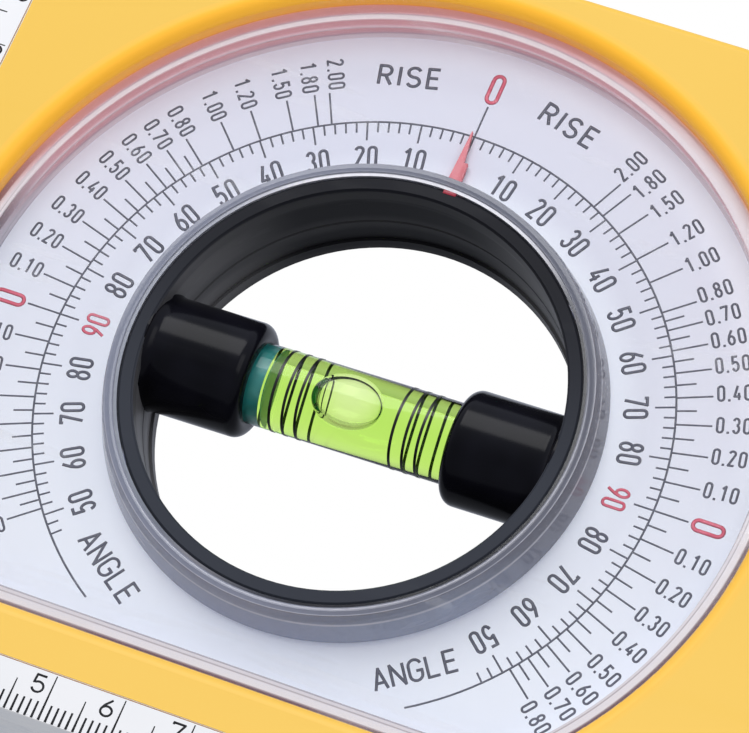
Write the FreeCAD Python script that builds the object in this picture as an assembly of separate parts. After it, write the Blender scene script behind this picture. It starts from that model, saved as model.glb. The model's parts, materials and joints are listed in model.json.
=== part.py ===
"""Magnetic inclinometer with a vial in a turning ring, in millimetres.

The part stands on its base edge: X to the right, Y to the back, Z up. The dial faces -Y and its
axis is parallel to Y. The origin is on the base edge, in the middle of the width and the depth.
"""
import FreeCAD, Part
import math
import os
from FreeCAD import Vector

# Case
body_width = 144.0
corner_cut = 38.0
cut_corner_radius = 4.0
edge_round = 1.2
case_wall = 2.0
front_plate = 2.8
back_plate = 2.2
part_line_depth = 13.75
tongue_height = 1.4
tongue_wall = 0.9
tongue_gap = 0.1

# Measuring edges: two channels of aluminium that hold the case halves together
channel_gauge = 1.2
base_web = 4.6
base_flange = 7.0
side_web = 3.0
side_flange = 7.3
channel_edge_break = 0.3
groove_width = 10.6
groove_depth = 3.0
label_thickness = 0.15
label_margin = 0.15

# Magnets and the screws of the channels
bar_magnet_count = 3
bar_magnet_spacing = 12.0
bar_screw_spacing = 8.0
bar_magnet_thickness = 1.5
magnet_gap = 0.05
disc_magnet_radius = 6.0
disc_magnet_thickness = 2.8
channel_screw_radius = 0.9
channel_screw_head_radius = 1.8
channel_screw_head_height = 1.0
channel_screw_length = 7.0
channel_screw_inset = 16.0
side_screw_inset = 26.5
channel_boss_radius = 2.6
channel_boss_height = 3.8

# Window, cover and dial
window_side_margin = 12.7
window_top_margin = 5.2
window_base_margin = 14.0
window_drop = 44.8
cover_recess = 1.7
cover_gap = 0.1
cover_sheet = 2.0
cover_rim_wall = 2.2
cover_flange_reach = 1.8
cover_flange_height = 1.5
cover_edge_break = 0.5
seal_thickness = 0.5
dial_depth = 9.2
dial_thickness = 1.2
dial_bore_gap = 0.65
pocket_gap = 0.15
skirt_wall = 3.6
collar_width = 1.4
collar_foot_width = 2.5
collar_step_width = 0.8
collar_step_height = 0.5
collar_gap = 0.55

# Case screws
case_screw_radius = 1.1
case_screw_head_radius = 2.2
case_screw_head_height = 1.6
case_screw_length = 13.0
case_screw_seat_depth = 3.0
case_screw_clearance = 0.2
post_radius = 2.8
boss_radius = 3.4
post_side_inset = 11.5
post_base_inset = 15.0
post_top_inset = 9.5
cut_post_inset = 5.9
dial_post_radius = 2.5
dial_post_count = 6
dial_rib_wall = 1.8

# Rotor
rotor_radius = 31.55
rotor_wall = 2.1
rotor_draft = 0.35
rotor_front_recess = 2.1
rotor_back_recess = 0.3
rotor_split_depth = 3.0
rotor_lip_width = 0.4
rotor_lip_depth = 2.6
rotor_edge_break = 0.3
rotor_flange_reach = 4.25
rotor_flange_height = 1.8
reading_deg = 1.0

# Rings that carry and brake the rotor
bearing_gap = 0.08
bearing_wall = 2.0
bearing_flange_reach = 4.6
bearing_flange_height = 0.95
bearing_tube_length = 4.35
bearing_back_recess = 0.6
collar_seat_wall = 2.5
glide_height = 1.5
glide_gap = 0.65
brake_height = 0.5
brake_gap = 0.1

# Vial and its holders
vial_radius = 5.75
fluid_radius = 4.3
fluid_barrel_rise = 0.15
fluid_half_length = 13.6
fluid_shift = 1.2
bubble_length = 9.9
bubble_radius = 2.9
bubble_shift = -1.6
bubble_overlap = 0.3
marker_inner_place = 6.9
marker_pitch = 1.9
marker_count = 3
marker_width = 0.4
marker_height = 0.06
holder_radius = 8.15
holder_mouth = 14.6
holder_mouth_round = 1.8
holder_root_flare = 0.9
holder_seat_depth = 7.5
holder_seat_gap = 0.05

# Pointer
pointer_tip_radius = 43.8
pointer_root_depth = 1.05
pointer_step_radius = 38.9
pointer_height = 0.7
pointer_dial_gap = 0.3
pointer_cover_gap = 0.3
pointer_left_width = 0.85
pointer_right_width = 1.55
pointer_shoulder_width = 1.3
pointer_needle_width = 0.68
pointer_tip_width = 0.14
pointer_sweep_gap = 0.45

overrun = 1.0

# Places that follow from the sizes
half_width = body_width / 2
window_radius = half_width - window_side_margin
axis_height = window_base_margin + window_drop
body_height = axis_height + window_radius + window_top_margin
seat_depth = dial_depth + rotor_split_depth + rotor_flange_height + brake_gap + brake_height
seat_depth += bearing_flange_height
body_depth = seat_depth + bearing_tube_length + bearing_back_recess
front_y = -body_depth / 2
back_y = body_depth / 2
part_y = front_y + part_line_depth
cover_y = front_y + cover_recess
dial_y = front_y + dial_depth
dial_back_y = dial_y + dial_thickness
flange_y = dial_y - cover_flange_height
seal_y = flange_y - seal_thickness
rotor_front_y = front_y + rotor_front_recess
rotor_back_y = back_y - rotor_back_recess
split_y = dial_y + rotor_split_depth
vial_y = (rotor_front_y + rotor_back_y) / 2
vial_end = holder_mouth + holder_seat_depth
bore_radius = rotor_radius - rotor_wall
pointer_root_radius = rotor_radius - pointer_root_depth
dial_post_circle = (rotor_radius + bearing_flange_reach + window_radius) / 2
bar_magnet_room = 2 * (half_width - channel_screw_inset - bar_screw_spacing)
bar_magnet_length = (bar_magnet_room + bar_magnet_spacing) / bar_magnet_count - bar_magnet_spacing
bar_magnet_pitch = bar_magnet_length + bar_magnet_spacing
side_screw_reach = body_height - axis_height - side_screw_inset
case_screw_seat_y = back_y - case_screw_seat_depth
pocket_radius = window_radius + cover_flange_reach
pocket_drop = window_drop + cover_flange_reach
cut_sum = half_width - corner_cut + body_height
axis_point = Vector(0, 0, axis_height)
along_y = Vector(0, 1, 0)
parts = {}


def box(x_range, y_range, z_range):
    """Box between the given pairs of coordinates."""
    corner = Vector(x_range[0], y_range[0], z_range[0])
    return Part.makeBox(x_range[1] - x_range[0], y_range[1] - y_range[0], z_range[1] - z_range[0], corner)


def rod(radius, start, end):
    """Round bar from one point to another."""
    return Part.makeCylinder(radius, (end - start).Length, start, end - start)


def disc(radius, y_range):
    """Disc about the dial's axis."""
    return rod(radius, Vector(0, y_range[0], axis_height), Vector(0, y_range[1], axis_height))


def ring(inner, outer, y_range):
    """Plain ring about the dial's axis."""
    return disc(outer, y_range).cut(disc(inner, y_range))


def dee(radius, drop, y_range):
    """Disc about the dial's axis with a flat below, drop under the axis."""
    keep = box((-radius, radius), y_range, (axis_height - drop, axis_height + radius))
    return disc(radius, y_range).common(keep)


def dee_ring(radius, drop, wall, y_range):
    """Wall of even thickness inside a dee."""
    return dee(radius, drop, y_range).cut(dee(radius - wall, drop - wall, y_range))


def turned(profile):
    """Solid of revolution about the dial's axis from (radius, y) corners."""
    points = [Vector(radius, y, axis_height) for radius, y in profile]
    face = Part.Face(Part.makePolygon(points + points[:1]))
    return face.revolve(axis_point, along_y, 360)


def rounded_face(corners, y):
    """Face in the plane y from (x, z, radius) corners, in order."""
    edges = []
    joints = []
    count = len(corners)
    for index, (x, z, radius) in enumerate(corners):
        here = Vector(x, y, z)
        before = Vector(corners[index - 1][0], y, corners[index - 1][1]) - here
        after = Vector(corners[(index + 1) % count][0], y, corners[(index + 1) % count][1]) - here
        before.normalize()
        after.normalize()
        if radius == 0:
            joints.append((here, here))
            continue
        half_angle = before.getAngle(after) / 2
        reach = radius / math.tan(half_angle)
        bisector = (before + after).normalize()
        middle = here + bisector * (radius / math.sin(half_angle) - radius)
        joints.append((here + before * reach, here + after * reach))
        edges.append(Part.Arc(joints[-1][0], middle, joints[-1][1]).toShape())
    for index in range(count):
        edges.append(Part.LineSegment(joints[index - 1][1], joints[index][0]).toShape())
    return Part.Face(Part.Wire(Part.__sortEdges__(edges)))


def case_block(left, bottom, inset, y_range):
    """Block with the outline of the case, moved in by its own amount on each side."""
    radius = max(cut_corner_radius - inset, 0)
    right = half_width - inset
    top = body_height - inset
    cut = cut_sum - inset * math.sqrt(2)
    corners = [
        (left - half_width, bottom, 0),
        (right, bottom, 0),
        (right, cut - right, radius),
        (cut - top, top, radius),
        (left - half_width, top, 0),
    ]
    face = rounded_face(corners, y_range[0])
    return face.extrude(Vector(0, y_range[1] - y_range[0], 0))


def edges_at(shape, y, test):
    """Edges of the shape that lie in the plane y and pass the test on their middle point."""
    found = []
    for edge in shape.Edges:
        middle = edge.valueAt((edge.FirstParameter + edge.LastParameter) / 2)
        ends = [vertex.Point.y for vertex in edge.Vertexes] + [middle.y]
        if max(abs(value - y) for value in ends) < edge_round / 100 and test(middle):
            found.append(edge)
    return found


def base_profile(margin):
    """Room that the base channel takes, with its flanges, as boxes."""
    whole = (-half_width - margin, half_width + margin)
    web = box(whole, (front_y - margin, back_y + margin), (-margin, base_web))
    front = box(whole, (front_y - margin, front_y + label_thickness + channel_gauge), (-margin, base_flange))
    back = box(whole, (back_y - channel_gauge, back_y + margin), (-margin, base_flange))
    return web, front, back


def side_profile(margin):
    """Room that the side channel takes, with its flanges, as boxes."""
    edge = -half_width - margin
    tall = (base_flange, body_height + margin)
    web = box((edge, side_web - half_width), (front_y - margin, back_y + margin), tall)
    flange = (edge, side_flange - half_width)
    front = box(flange, (front_y - margin, front_y + label_thickness + channel_gauge), tall)
    back = box(flange, (back_y - channel_gauge, back_y + margin), tall)
    return web, front, back


def without_channels(shape):
    """The shape with the room of both channels cut away."""
    return shape.cut(list(base_profile(overrun)) + list(side_profile(overrun)))


def case_screw_places():
    """(x, z) of the screws: three corners, and the lower end of the cut corner."""
    cut_x = half_width - cut_post_inset
    return [
        (post_side_inset - half_width, post_base_inset),
        (half_width - post_side_inset, post_base_inset),
        (post_side_inset - half_width, body_height - post_top_inset),
        (cut_x, cut_sum - cut_post_inset * math.sqrt(2) - cut_x),
    ]


def channel_screw_places():
    """(head centre, direction) of the screws that hold the channels."""
    base_x = half_width - channel_screw_inset
    side_z = [axis_height - side_screw_reach, axis_height + side_screw_reach]
    base = [(Vector(x, 0, groove_depth), Vector(0, 0, 1)) for x in (-base_x, base_x)]
    side = [(Vector(-half_width, 0, z), Vector(1, 0, 0)) for z in side_z]
    return base + side


def screw(head_point, direction, radius, length, head_radius, head_height, countersunk):
    """Screw whose head starts at a point and whose shank follows the direction."""
    neck = head_point + direction * head_height
    if countersunk:
        head = Part.makeCone(head_radius, radius, head_height, head_point, direction)
    else:
        head = rod(head_radius, head_point, neck)
    return head.fuse(rod(radius, neck, head_point + direction * length)).removeSplitter()


def inner_band(outer_inset, inner_inset, y_range):
    """Band along the inside of the case's walls, between two insets."""
    outer = case_block(side_web + outer_inset, base_web + outer_inset, outer_inset, y_range)
    return outer.cut(case_block(side_web + inner_inset, base_web + inner_inset, inner_inset, y_range))


def make_front_shell():
    """Front half of the case: face, walls, window skirt and screw posts."""
    block = case_block(0, 0, 0, (front_y, part_y))
    outer = edges_at(block, front_y, lambda middle: True)
    block = block.makeFillet(edge_round, outer)
    block = without_channels(block)
    inner_y = front_y + front_plate
    cavity = case_block(side_web + case_wall, base_web + case_wall, case_wall, (inner_y, part_y))
    shell = block.cut(cavity)
    additions = [dee(window_radius + skirt_wall, window_drop + skirt_wall, (inner_y, dial_back_y))]
    for x, z in case_screw_places():
        additions.append(rod(post_radius, Vector(x, inner_y, z), Vector(x, part_y, z)))
    for head, direction in channel_screw_places():
        web = base_web - groove_depth if direction.z > 0 else side_web
        root = head + direction * (web + case_wall / 2)
        tip = head + direction * (web + case_wall + channel_boss_height)
        additions.append(rod(channel_boss_radius, root, tip))
    shell = shell.fuse(additions)
    cuts = [
        dee(window_radius, window_drop, (front_y - overrun, seal_y)),
        dee(pocket_radius + pocket_gap, pocket_drop + pocket_gap, (seal_y, dial_back_y + overrun)),
    ]
    for x, z in case_screw_places():
        pilot_y = case_screw_seat_y - case_screw_length - case_screw_clearance
        cuts.append(rod(case_screw_radius, Vector(x, pilot_y, z), Vector(x, part_y + overrun, z)))
    for head, direction in channel_screw_places():
        cuts.append(rod(channel_screw_radius, head, head + direction * channel_screw_length))
    shell = shell.cut(cuts).removeSplitter()
    return shell.makeFillet(cover_recess, edges_at(shell, front_y, on_window_edge))


def on_window_edge(middle):
    """True for the middle point of an edge of the window."""
    spoke = middle - axis_point - along_y * middle.y
    return spoke.Length < window_radius + edge_round and -spoke.z < window_drop + edge_round


def make_rear_shell():
    """Back half of the case: plate, walls, dial rib and posts, and the seat of the bearing."""
    block = case_block(0, 0, 0, (part_y, back_y))
    outer = edges_at(block, back_y, lambda middle: True)
    block = block.makeFillet(edge_round, outer)
    block = without_channels(block)
    inner_y = back_y - back_plate
    cavity = case_block(side_web + case_wall, base_web + case_wall, case_wall, (part_y, inner_y))
    shell = block.cut(cavity)
    lap = case_wall + tongue_gap
    tongue = inner_band(lap, lap + tongue_wall, (part_y - tongue_height, part_y + tongue_height))
    root = inner_band(case_wall / 2, lap + tongue_wall, (part_y, part_y + tongue_height))
    for head, direction in channel_screw_places():
        tip = head + direction * (channel_boss_height + lap + base_web)
        tongue = tongue.cut(rod(channel_boss_radius + tongue_gap, head, tip))
    additions = [tongue, root]
    rib_end = inner_y + back_plate / 2
    additions.append(dee_ring(pocket_radius, pocket_drop, dial_rib_wall, (dial_back_y, rib_end)))
    seat_inner = rotor_radius + bearing_gap + bearing_wall
    additions.append(ring(seat_inner, seat_inner + collar_seat_wall, (front_y + seat_depth, rib_end)))
    for index in range(dial_post_count):
        turn = 2 * math.pi * (index + 1 / 2) / dial_post_count
        x = dial_post_circle * math.sin(turn)
        z = axis_height + dial_post_circle * math.cos(turn)
        additions.append(rod(dial_post_radius, Vector(x, dial_back_y, z), Vector(x, rib_end, z)))
    for x, z in case_screw_places():
        additions.append(rod(boss_radius, Vector(x, part_y, z), Vector(x, rib_end, z)))
    shell = shell.fuse(additions)
    cuts = [disc(seat_inner, (inner_y - overrun, back_y + overrun))]
    cuts.append(front_post_room())
    for x, z in case_screw_places():
        hole = case_screw_radius + case_screw_clearance
        cuts.append(rod(hole, Vector(x, part_y - overrun, z), Vector(x, back_y, z)))
        head = case_screw_head_radius + case_screw_clearance
        cuts.append(rod(head, Vector(x, case_screw_seat_y, z), Vector(x, back_y + overrun, z)))
    return shell.cut(cuts).removeSplitter()


def front_post_room():
    """Room in front of the parting plane that belongs to the posts of the front half."""
    room = []
    for x, z in case_screw_places():
        start = Vector(x, part_y - tongue_height - overrun, z)
        room.append(rod(boss_radius + tongue_gap, start, Vector(x, part_y, z)))
    return room[0].fuse(room[1:])


def make_channels():
    """The two measuring edges, with the vee groove, magnet pockets and screw holes."""
    web, front, back = base_profile(0)
    front = front.cut(box((-half_width, half_width), (front_y, front_y + label_thickness), (0, base_flange)))
    web = web.cut(box((-half_width, half_width), (front_y, front_y + label_thickness), (0, base_web)))
    base = web.fuse([front, back]).removeSplitter()
    slope = groove_width / 2 - groove_depth
    groove = [
        Vector(-half_width - overrun, -groove_width / 2 - overrun, -overrun),
        Vector(-half_width - overrun, -slope, groove_depth),
        Vector(-half_width - overrun, slope, groove_depth),
        Vector(-half_width - overrun, groove_width / 2 + overrun, -overrun),
    ]
    vee = Part.Face(Part.makePolygon(groove + groove[:1])).extrude(Vector(body_width + 2 * overrun, 0, 0))
    cuts = [vee]
    for x in bar_magnet_places():
        cuts.append(magnet_bar(x, magnet_gap, (groove_depth, base_web)))
    web, front, back = side_profile(0)
    tall = (base_flange, body_height)
    strip = box((-half_width, side_flange - half_width), (front_y, front_y + label_thickness), tall)
    side = web.fuse([front, back]).cut(strip).removeSplitter()
    side_cuts = []
    for z in disc_magnet_places():
        side_cuts.append(rod(disc_magnet_radius + magnet_gap, Vector(-half_width, 0, z),
                             Vector(side_web - half_width, 0, z)))
    for head, direction in channel_screw_places():
        hole = rod(channel_screw_radius + magnet_gap, head, head + direction * channel_screw_length)
        sink = Part.makeCone(channel_screw_head_radius + magnet_gap, channel_screw_radius + magnet_gap,
                             channel_screw_head_height, head, direction)
        (cuts if direction.z > 0 else side_cuts).extend([hole, sink])
    base = base.cut(cuts)
    side = side.cut(side_cuts)
    return break_outer_edge(base, -front_y), break_outer_edge(side, -front_y)


def break_outer_edge(shape, reach):
    """Small chamfer along the two outer long edges at the back and the front."""
    chosen = []
    for edge in shape.Edges:
        ends = [vertex.Point for vertex in edge.Vertexes]
        if len(ends) != 2 or edge.Length < body_height / 2:
            continue
        level = abs(ends[0].y - ends[1].y) < magnet_gap
        on_face = level and abs(abs(ends[0].y) - reach) < label_thickness * 2
        low = max(end.z for end in ends) < magnet_gap
        left = max(end.x for end in ends) < magnet_gap - half_width
        if on_face and (low or left):
            chosen.append(edge)
    return shape.makeChamfer(channel_edge_break, chosen)


def bar_magnet_places():
    """x of the bar magnets in the groove."""
    start = -bar_magnet_pitch * (bar_magnet_count - 1) / 2
    return [start + bar_magnet_pitch * index for index in range(bar_magnet_count)]


def disc_magnet_places():
    """z of the disc magnets in the side channel."""
    return [axis_height - side_screw_reach / 2, axis_height + side_screw_reach / 2]


def magnet_bar(x, gap, z_range):
    """Bar as wide as the floor of the groove, grown by a gap all round."""
    half = groove_width / 2 - groove_depth - 2 * magnet_gap + gap
    reach = bar_magnet_length / 2 + gap
    return box((x - reach, x + reach), (-half, half), z_range)


def make_magnets():
    """Bars in the groove and discs in the side channel."""
    bar_range = (groove_depth, groove_depth + bar_magnet_thickness)
    bars = [magnet_bar(x, 0, bar_range) for x in bar_magnet_places()]
    discs = []
    for z in disc_magnet_places():
        start = Vector(side_web - half_width - disc_magnet_thickness, 0, z)
        discs.append(rod(disc_magnet_radius, start, start + Vector(disc_magnet_thickness, 0, 0)))
    return Part.makeCompound(bars), Part.makeCompound(discs)


def make_labels():
    """White printed strips on the front flanges."""
    thick = (front_y, front_y + label_thickness)
    across = (label_margin - half_width, half_width - label_margin)
    base = box(across, thick, (channel_edge_break, base_flange - label_margin))
    side = box((channel_edge_break - half_width, side_flange - half_width - label_margin), thick,
               (base_flange + label_margin, body_height - label_margin))
    return base, side


def make_cover():
    """Clear cover: sheet, rim that stands on the dial, foot flange and collar round the rotor."""
    radius = window_radius - cover_gap
    drop = window_drop - cover_gap
    sheet = dee(radius, drop, (cover_y, cover_y + cover_sheet))
    top = edges_at(sheet, cover_y, lambda middle: True)
    sheet = sheet.makeChamfer(cover_edge_break, top)
    rim = dee_ring(radius, drop, cover_rim_wall, (cover_y + cover_sheet, dial_y))
    foot = dee(pocket_radius, pocket_drop, (flange_y, dial_y))
    foot = foot.cut(dee(radius - cover_rim_wall, drop - cover_rim_wall, (flange_y, dial_y)))
    bore = rotor_radius + collar_gap
    foot_y = dial_y - pointer_dial_gap - pointer_height - pointer_cover_gap
    collar = turned([
        (bore, cover_y),
        (bore + collar_width, cover_y),
        (bore + collar_width, cover_y + cover_sheet),
        (bore + collar_foot_width, foot_y - 2 * collar_step_height),
        (bore + 2 * collar_step_width, foot_y - 2 * collar_step_height),
        (bore + 2 * collar_step_width, foot_y - collar_step_height),
        (bore + collar_step_width, foot_y - collar_step_height),
        (bore + collar_step_width, foot_y),
        (bore, foot_y),
    ])
    sweep = disc(pointer_tip_radius + pointer_sweep_gap, (foot_y, dial_y + overrun))
    cover = sheet.fuse([rim, foot, collar])
    return cover.cut([disc(bore, (cover_y - overrun, foot_y + overrun)), sweep]).removeSplitter()


def make_dial():
    """Printed plate behind the cover."""
    plate = dee(pocket_radius, pocket_drop, (dial_y, dial_back_y))
    return plate.cut(disc(rotor_radius + dial_bore_gap, (dial_y, dial_back_y)))


def make_carriers():
    """Glide ring behind the dial, brake ring and the rear bearing."""
    flange_back = split_y + rotor_flange_height
    inner = rotor_radius + glide_gap
    outer = rotor_radius + bearing_flange_reach
    glide = ring(inner, outer, (dial_back_y, dial_back_y + glide_height))
    brake_y = flange_back + brake_gap
    brake = ring(inner, rotor_radius + rotor_flange_reach, (brake_y, brake_y + brake_height))
    bore = rotor_radius + bearing_gap
    seat_y = front_y + seat_depth
    bearing = turned([
        (bore, brake_y + brake_height),
        (outer, brake_y + brake_height),
        (outer, seat_y),
        (bore + bearing_wall, seat_y),
        (bore + bearing_wall, seat_y + bearing_tube_length),
        (bore, seat_y + bearing_tube_length),
    ])
    return glide, brake, bearing


def make_rotor_rings():
    """The two halves of the black ring: a plain tube in front, and a flanged one behind."""
    waist = bore_radius + rotor_draft
    lip = bore_radius + rotor_lip_width
    front = turned([
        (bore_radius, rotor_front_y + rotor_edge_break),
        (bore_radius + rotor_edge_break, rotor_front_y),
        (rotor_radius - rotor_edge_break, rotor_front_y),
        (rotor_radius, rotor_front_y + rotor_edge_break),
        (rotor_radius, split_y),
        (waist + rotor_edge_break, split_y),
        (waist, split_y - rotor_edge_break),
        (lip, rotor_front_y + rotor_lip_depth),
        (bore_radius, rotor_front_y + rotor_lip_depth),
    ])
    rear = turned([
        (waist, split_y + rotor_edge_break),
        (waist + rotor_edge_break, split_y),
        (rotor_radius + rotor_flange_reach, split_y),
        (rotor_radius + rotor_flange_reach, split_y + rotor_flange_height),
        (rotor_radius, split_y + rotor_flange_height),
        (rotor_radius, rotor_back_y - rotor_edge_break),
        (rotor_radius - rotor_edge_break, rotor_back_y),
        (bore_radius + rotor_edge_break, rotor_back_y),
        (bore_radius, rotor_back_y - rotor_edge_break),
        (bore_radius, rotor_back_y - rotor_lip_depth),
        (lip, rotor_back_y - rotor_lip_depth),
    ])
    return front, rear


def vial_turned(profile):
    """Solid of revolution about the vial's axis from (x, radius) corners."""
    points = [Vector(x, vial_y, axis_height + radius) for x, radius in profile]
    face = Part.Face(Part.makePolygon(points + points[:1]))
    return face.revolve(Vector(0, vial_y, axis_height), Vector(1, 0, 0), 360)


def make_vial():
    """Clear tube with its fluid, plugs and marker rings."""
    end_radius = fluid_radius - fluid_barrel_rise
    low = Vector(fluid_shift - fluid_half_length, vial_y, axis_height + end_radius)
    high = Vector(fluid_shift + fluid_half_length, vial_y, axis_height + end_radius)
    crown = Part.Arc(low, Vector(fluid_shift, vial_y, axis_height + fluid_radius), high).toShape()
    right, left = [Vector(point.x, vial_y, axis_height) for point in (high, low)]
    sides = [Part.makeLine(high, right), Part.makeLine(right, left), Part.makeLine(left, low)]
    barrel = Part.Face(Part.Wire([crown] + sides)).revolve(right, Vector(1, 0, 0), 360)
    plugs = []
    for side in (-1, 1):
        inside = Vector(fluid_shift + side * fluid_half_length, vial_y, axis_height)
        plugs.append(rod(end_radius, inside, Vector(side * vial_end, vial_y, axis_height)))
    tube = rod(vial_radius, Vector(-vial_end, vial_y, axis_height), Vector(vial_end, vial_y, axis_height))
    tube = tube.cut([barrel] + plugs)
    stretch = FreeCAD.Matrix()
    stretch.scale(Vector(bubble_length / 2 / bubble_radius, 1, 1))
    bubble = Part.makeSphere(bubble_radius).transformGeometry(stretch)
    bubble_rise = fluid_radius - bubble_radius + bubble_overlap
    bubble.translate(Vector(bubble_shift, vial_y, axis_height + bubble_rise))
    fluid = barrel.cut(bubble)
    rings = []
    for index in range(marker_count):
        for side in (-1, 1):
            centre = side * (marker_inner_place + marker_pitch * index)
            start = centre - marker_width / 2
            rings.append(vial_turned([
                (start, vial_radius),
                (start + marker_width, vial_radius),
                (start + marker_width, vial_radius + marker_height),
                (start, vial_radius + marker_height),
            ]))
    return tube, fluid, Part.makeCompound(plugs), Part.makeCompound(rings)


def make_holder(side, rotor_rings):
    """Black cup that carries one end of the vial, grown out of the ring's wall."""
    bottom = vial_end + holder_seat_gap
    far = rotor_radius
    flare_start = bore_radius - 2 * holder_root_flare
    mouth = holder_mouth
    middle = math.sqrt(1 / 2)
    round_z = axis_height + holder_radius - holder_mouth_round
    round_centre = Vector(mouth + holder_mouth_round, vial_y, round_z)
    points = {
        "seat": Vector(mouth, vial_y, axis_height + vial_radius + holder_seat_gap),
        "face": Vector(mouth, vial_y, round_centre.z),
        "bend": round_centre + Vector(-middle, 0, middle) * holder_mouth_round,
        "side": Vector(round_centre.x, vial_y, axis_height + holder_radius),
        "flare": Vector(flare_start, vial_y, axis_height + holder_radius),
        "root": Vector(bore_radius, vial_y, axis_height + holder_radius + holder_root_flare),
        "back": Vector(far, vial_y, axis_height + holder_radius + holder_root_flare),
        "axis": Vector(far, vial_y, axis_height),
        "floor": Vector(bottom, vial_y, axis_height),
        "well": Vector(bottom, vial_y, axis_height + vial_radius + holder_seat_gap),
    }
    bow = (points["flare"] + points["root"]) / 2 + Vector(holder_root_flare, 0, -holder_root_flare) / 4
    edges = [
        Part.makeLine(points["seat"], points["face"]),
        Part.Arc(points["face"], points["bend"], points["side"]).toShape(),
        Part.makeLine(points["side"], points["flare"]),
        Part.Arc(points["flare"], bow, points["root"]).toShape(),
        Part.makeLine(points["root"], points["back"]),
        Part.makeLine(points["back"], points["axis"]),
        Part.makeLine(points["axis"], points["floor"]),
        Part.makeLine(points["floor"], points["well"]),
        Part.makeLine(points["well"], points["seat"]),
    ]
    cup = Part.Face(Part.Wire(edges)).revolve(Vector(0, vial_y, axis_height), Vector(1, 0, 0), 360)
    if side < 0:
        cup = cup.mirror(Vector(0, 0, 0), Vector(1, 0, 0))
    room = disc((bore_radius + rotor_radius) / 2, (rotor_front_y, rotor_back_y))
    return cup.common(room).cut(list(rotor_rings))


def make_pointer():
    """Red needle that leaves the ring under the cover's collar and reaches the scale circle."""
    top = dial_y - pointer_dial_gap - pointer_height
    corners = [
        (-pointer_left_width, pointer_root_radius),
        (pointer_right_width, pointer_root_radius),
        (pointer_shoulder_width, pointer_step_radius),
        (pointer_needle_width, pointer_step_radius),
        (pointer_tip_width, pointer_tip_radius),
        (0, pointer_tip_radius),
    ]
    points = [Vector(x, top, axis_height + radius) for x, radius in corners]
    face = Part.Face(Part.makePolygon(points + points[:1]))
    return face.extrude(Vector(0, pointer_height, 0))


def make_screws():
    """Screws of the case, from behind, and of the channels."""
    case = []
    for x, z in case_screw_places():
        head = Vector(x, case_screw_seat_y + case_screw_head_height, z)
        length = case_screw_head_height + case_screw_length
        case.append(screw(head, Vector(0, -1, 0), case_screw_radius, length, case_screw_head_radius,
                          case_screw_head_height, False))
    channel = []
    for head, direction in channel_screw_places():
        channel.append(screw(head, direction, channel_screw_radius, channel_screw_length,
                             channel_screw_head_radius, channel_screw_head_height, True))
    return Part.makeCompound(case), Part.makeCompound(channel)


def build():
    """Make every piece, turn the rotor to its reading and write one file for each."""
    parts["front_shell"] = make_front_shell()
    parts["rear_shell"] = make_rear_shell()
    parts["base_channel"], parts["side_channel"] = make_channels()
    parts["base_magnets"], parts["side_magnets"] = make_magnets()
    parts["base_ruler_label"], parts["side_ruler_label"] = make_labels()
    parts["clear_cover"] = make_cover()
    seal_wall = cover_flange_reach - pocket_gap
    parts["cover_seal"] = dee_ring(pocket_radius, pocket_drop, seal_wall, (seal_y, flange_y))
    parts["dial_plate"] = make_dial()
    parts["glide_ring"], parts["brake_ring"], parts["rear_bearing"] = make_carriers()
    parts["case_screws"], parts["channel_screws"] = make_screws()
    front, rear = make_rotor_rings()
    rotor = {}
    rotor["left_vial_holder"] = make_holder(-1, (front, rear))
    rotor["right_vial_holder"] = make_holder(1, (front, rear))
    rotor["pointer"] = make_pointer()
    rotor["rotor_front_ring"] = front.cut(rotor["pointer"])
    rotor["rotor_rear_ring"] = rear
    tube, fluid, plugs, rings = make_vial()
    rotor["vial_tube"] = tube
    rotor["vial_fluid"] = fluid
    rotor["vial_plugs"] = plugs
    rotor["vial_marker_rings"] = rings
    for name, shape in rotor.items():
        shape.rotate(axis_point, Vector(0, -1, 0), reading_deg)
        parts[name] = shape
    os.makedirs("parts", exist_ok=True)
    for name, shape in parts.items():
        solids = len(shape.Solids)
        print(f"{name}: {solids} solids, {shape.Volume:.1f} mm3, valid {shape.isValid()}")
        shape.exportStep(os.path.join("parts", name + ".step"))


build()
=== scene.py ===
import json
import logging
import math
from dataclasses import dataclass, field
from enum import Enum
from typing import Any, Iterable, Sequence

import bmesh
import bpy
from mathutils import Matrix, Vector


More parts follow.
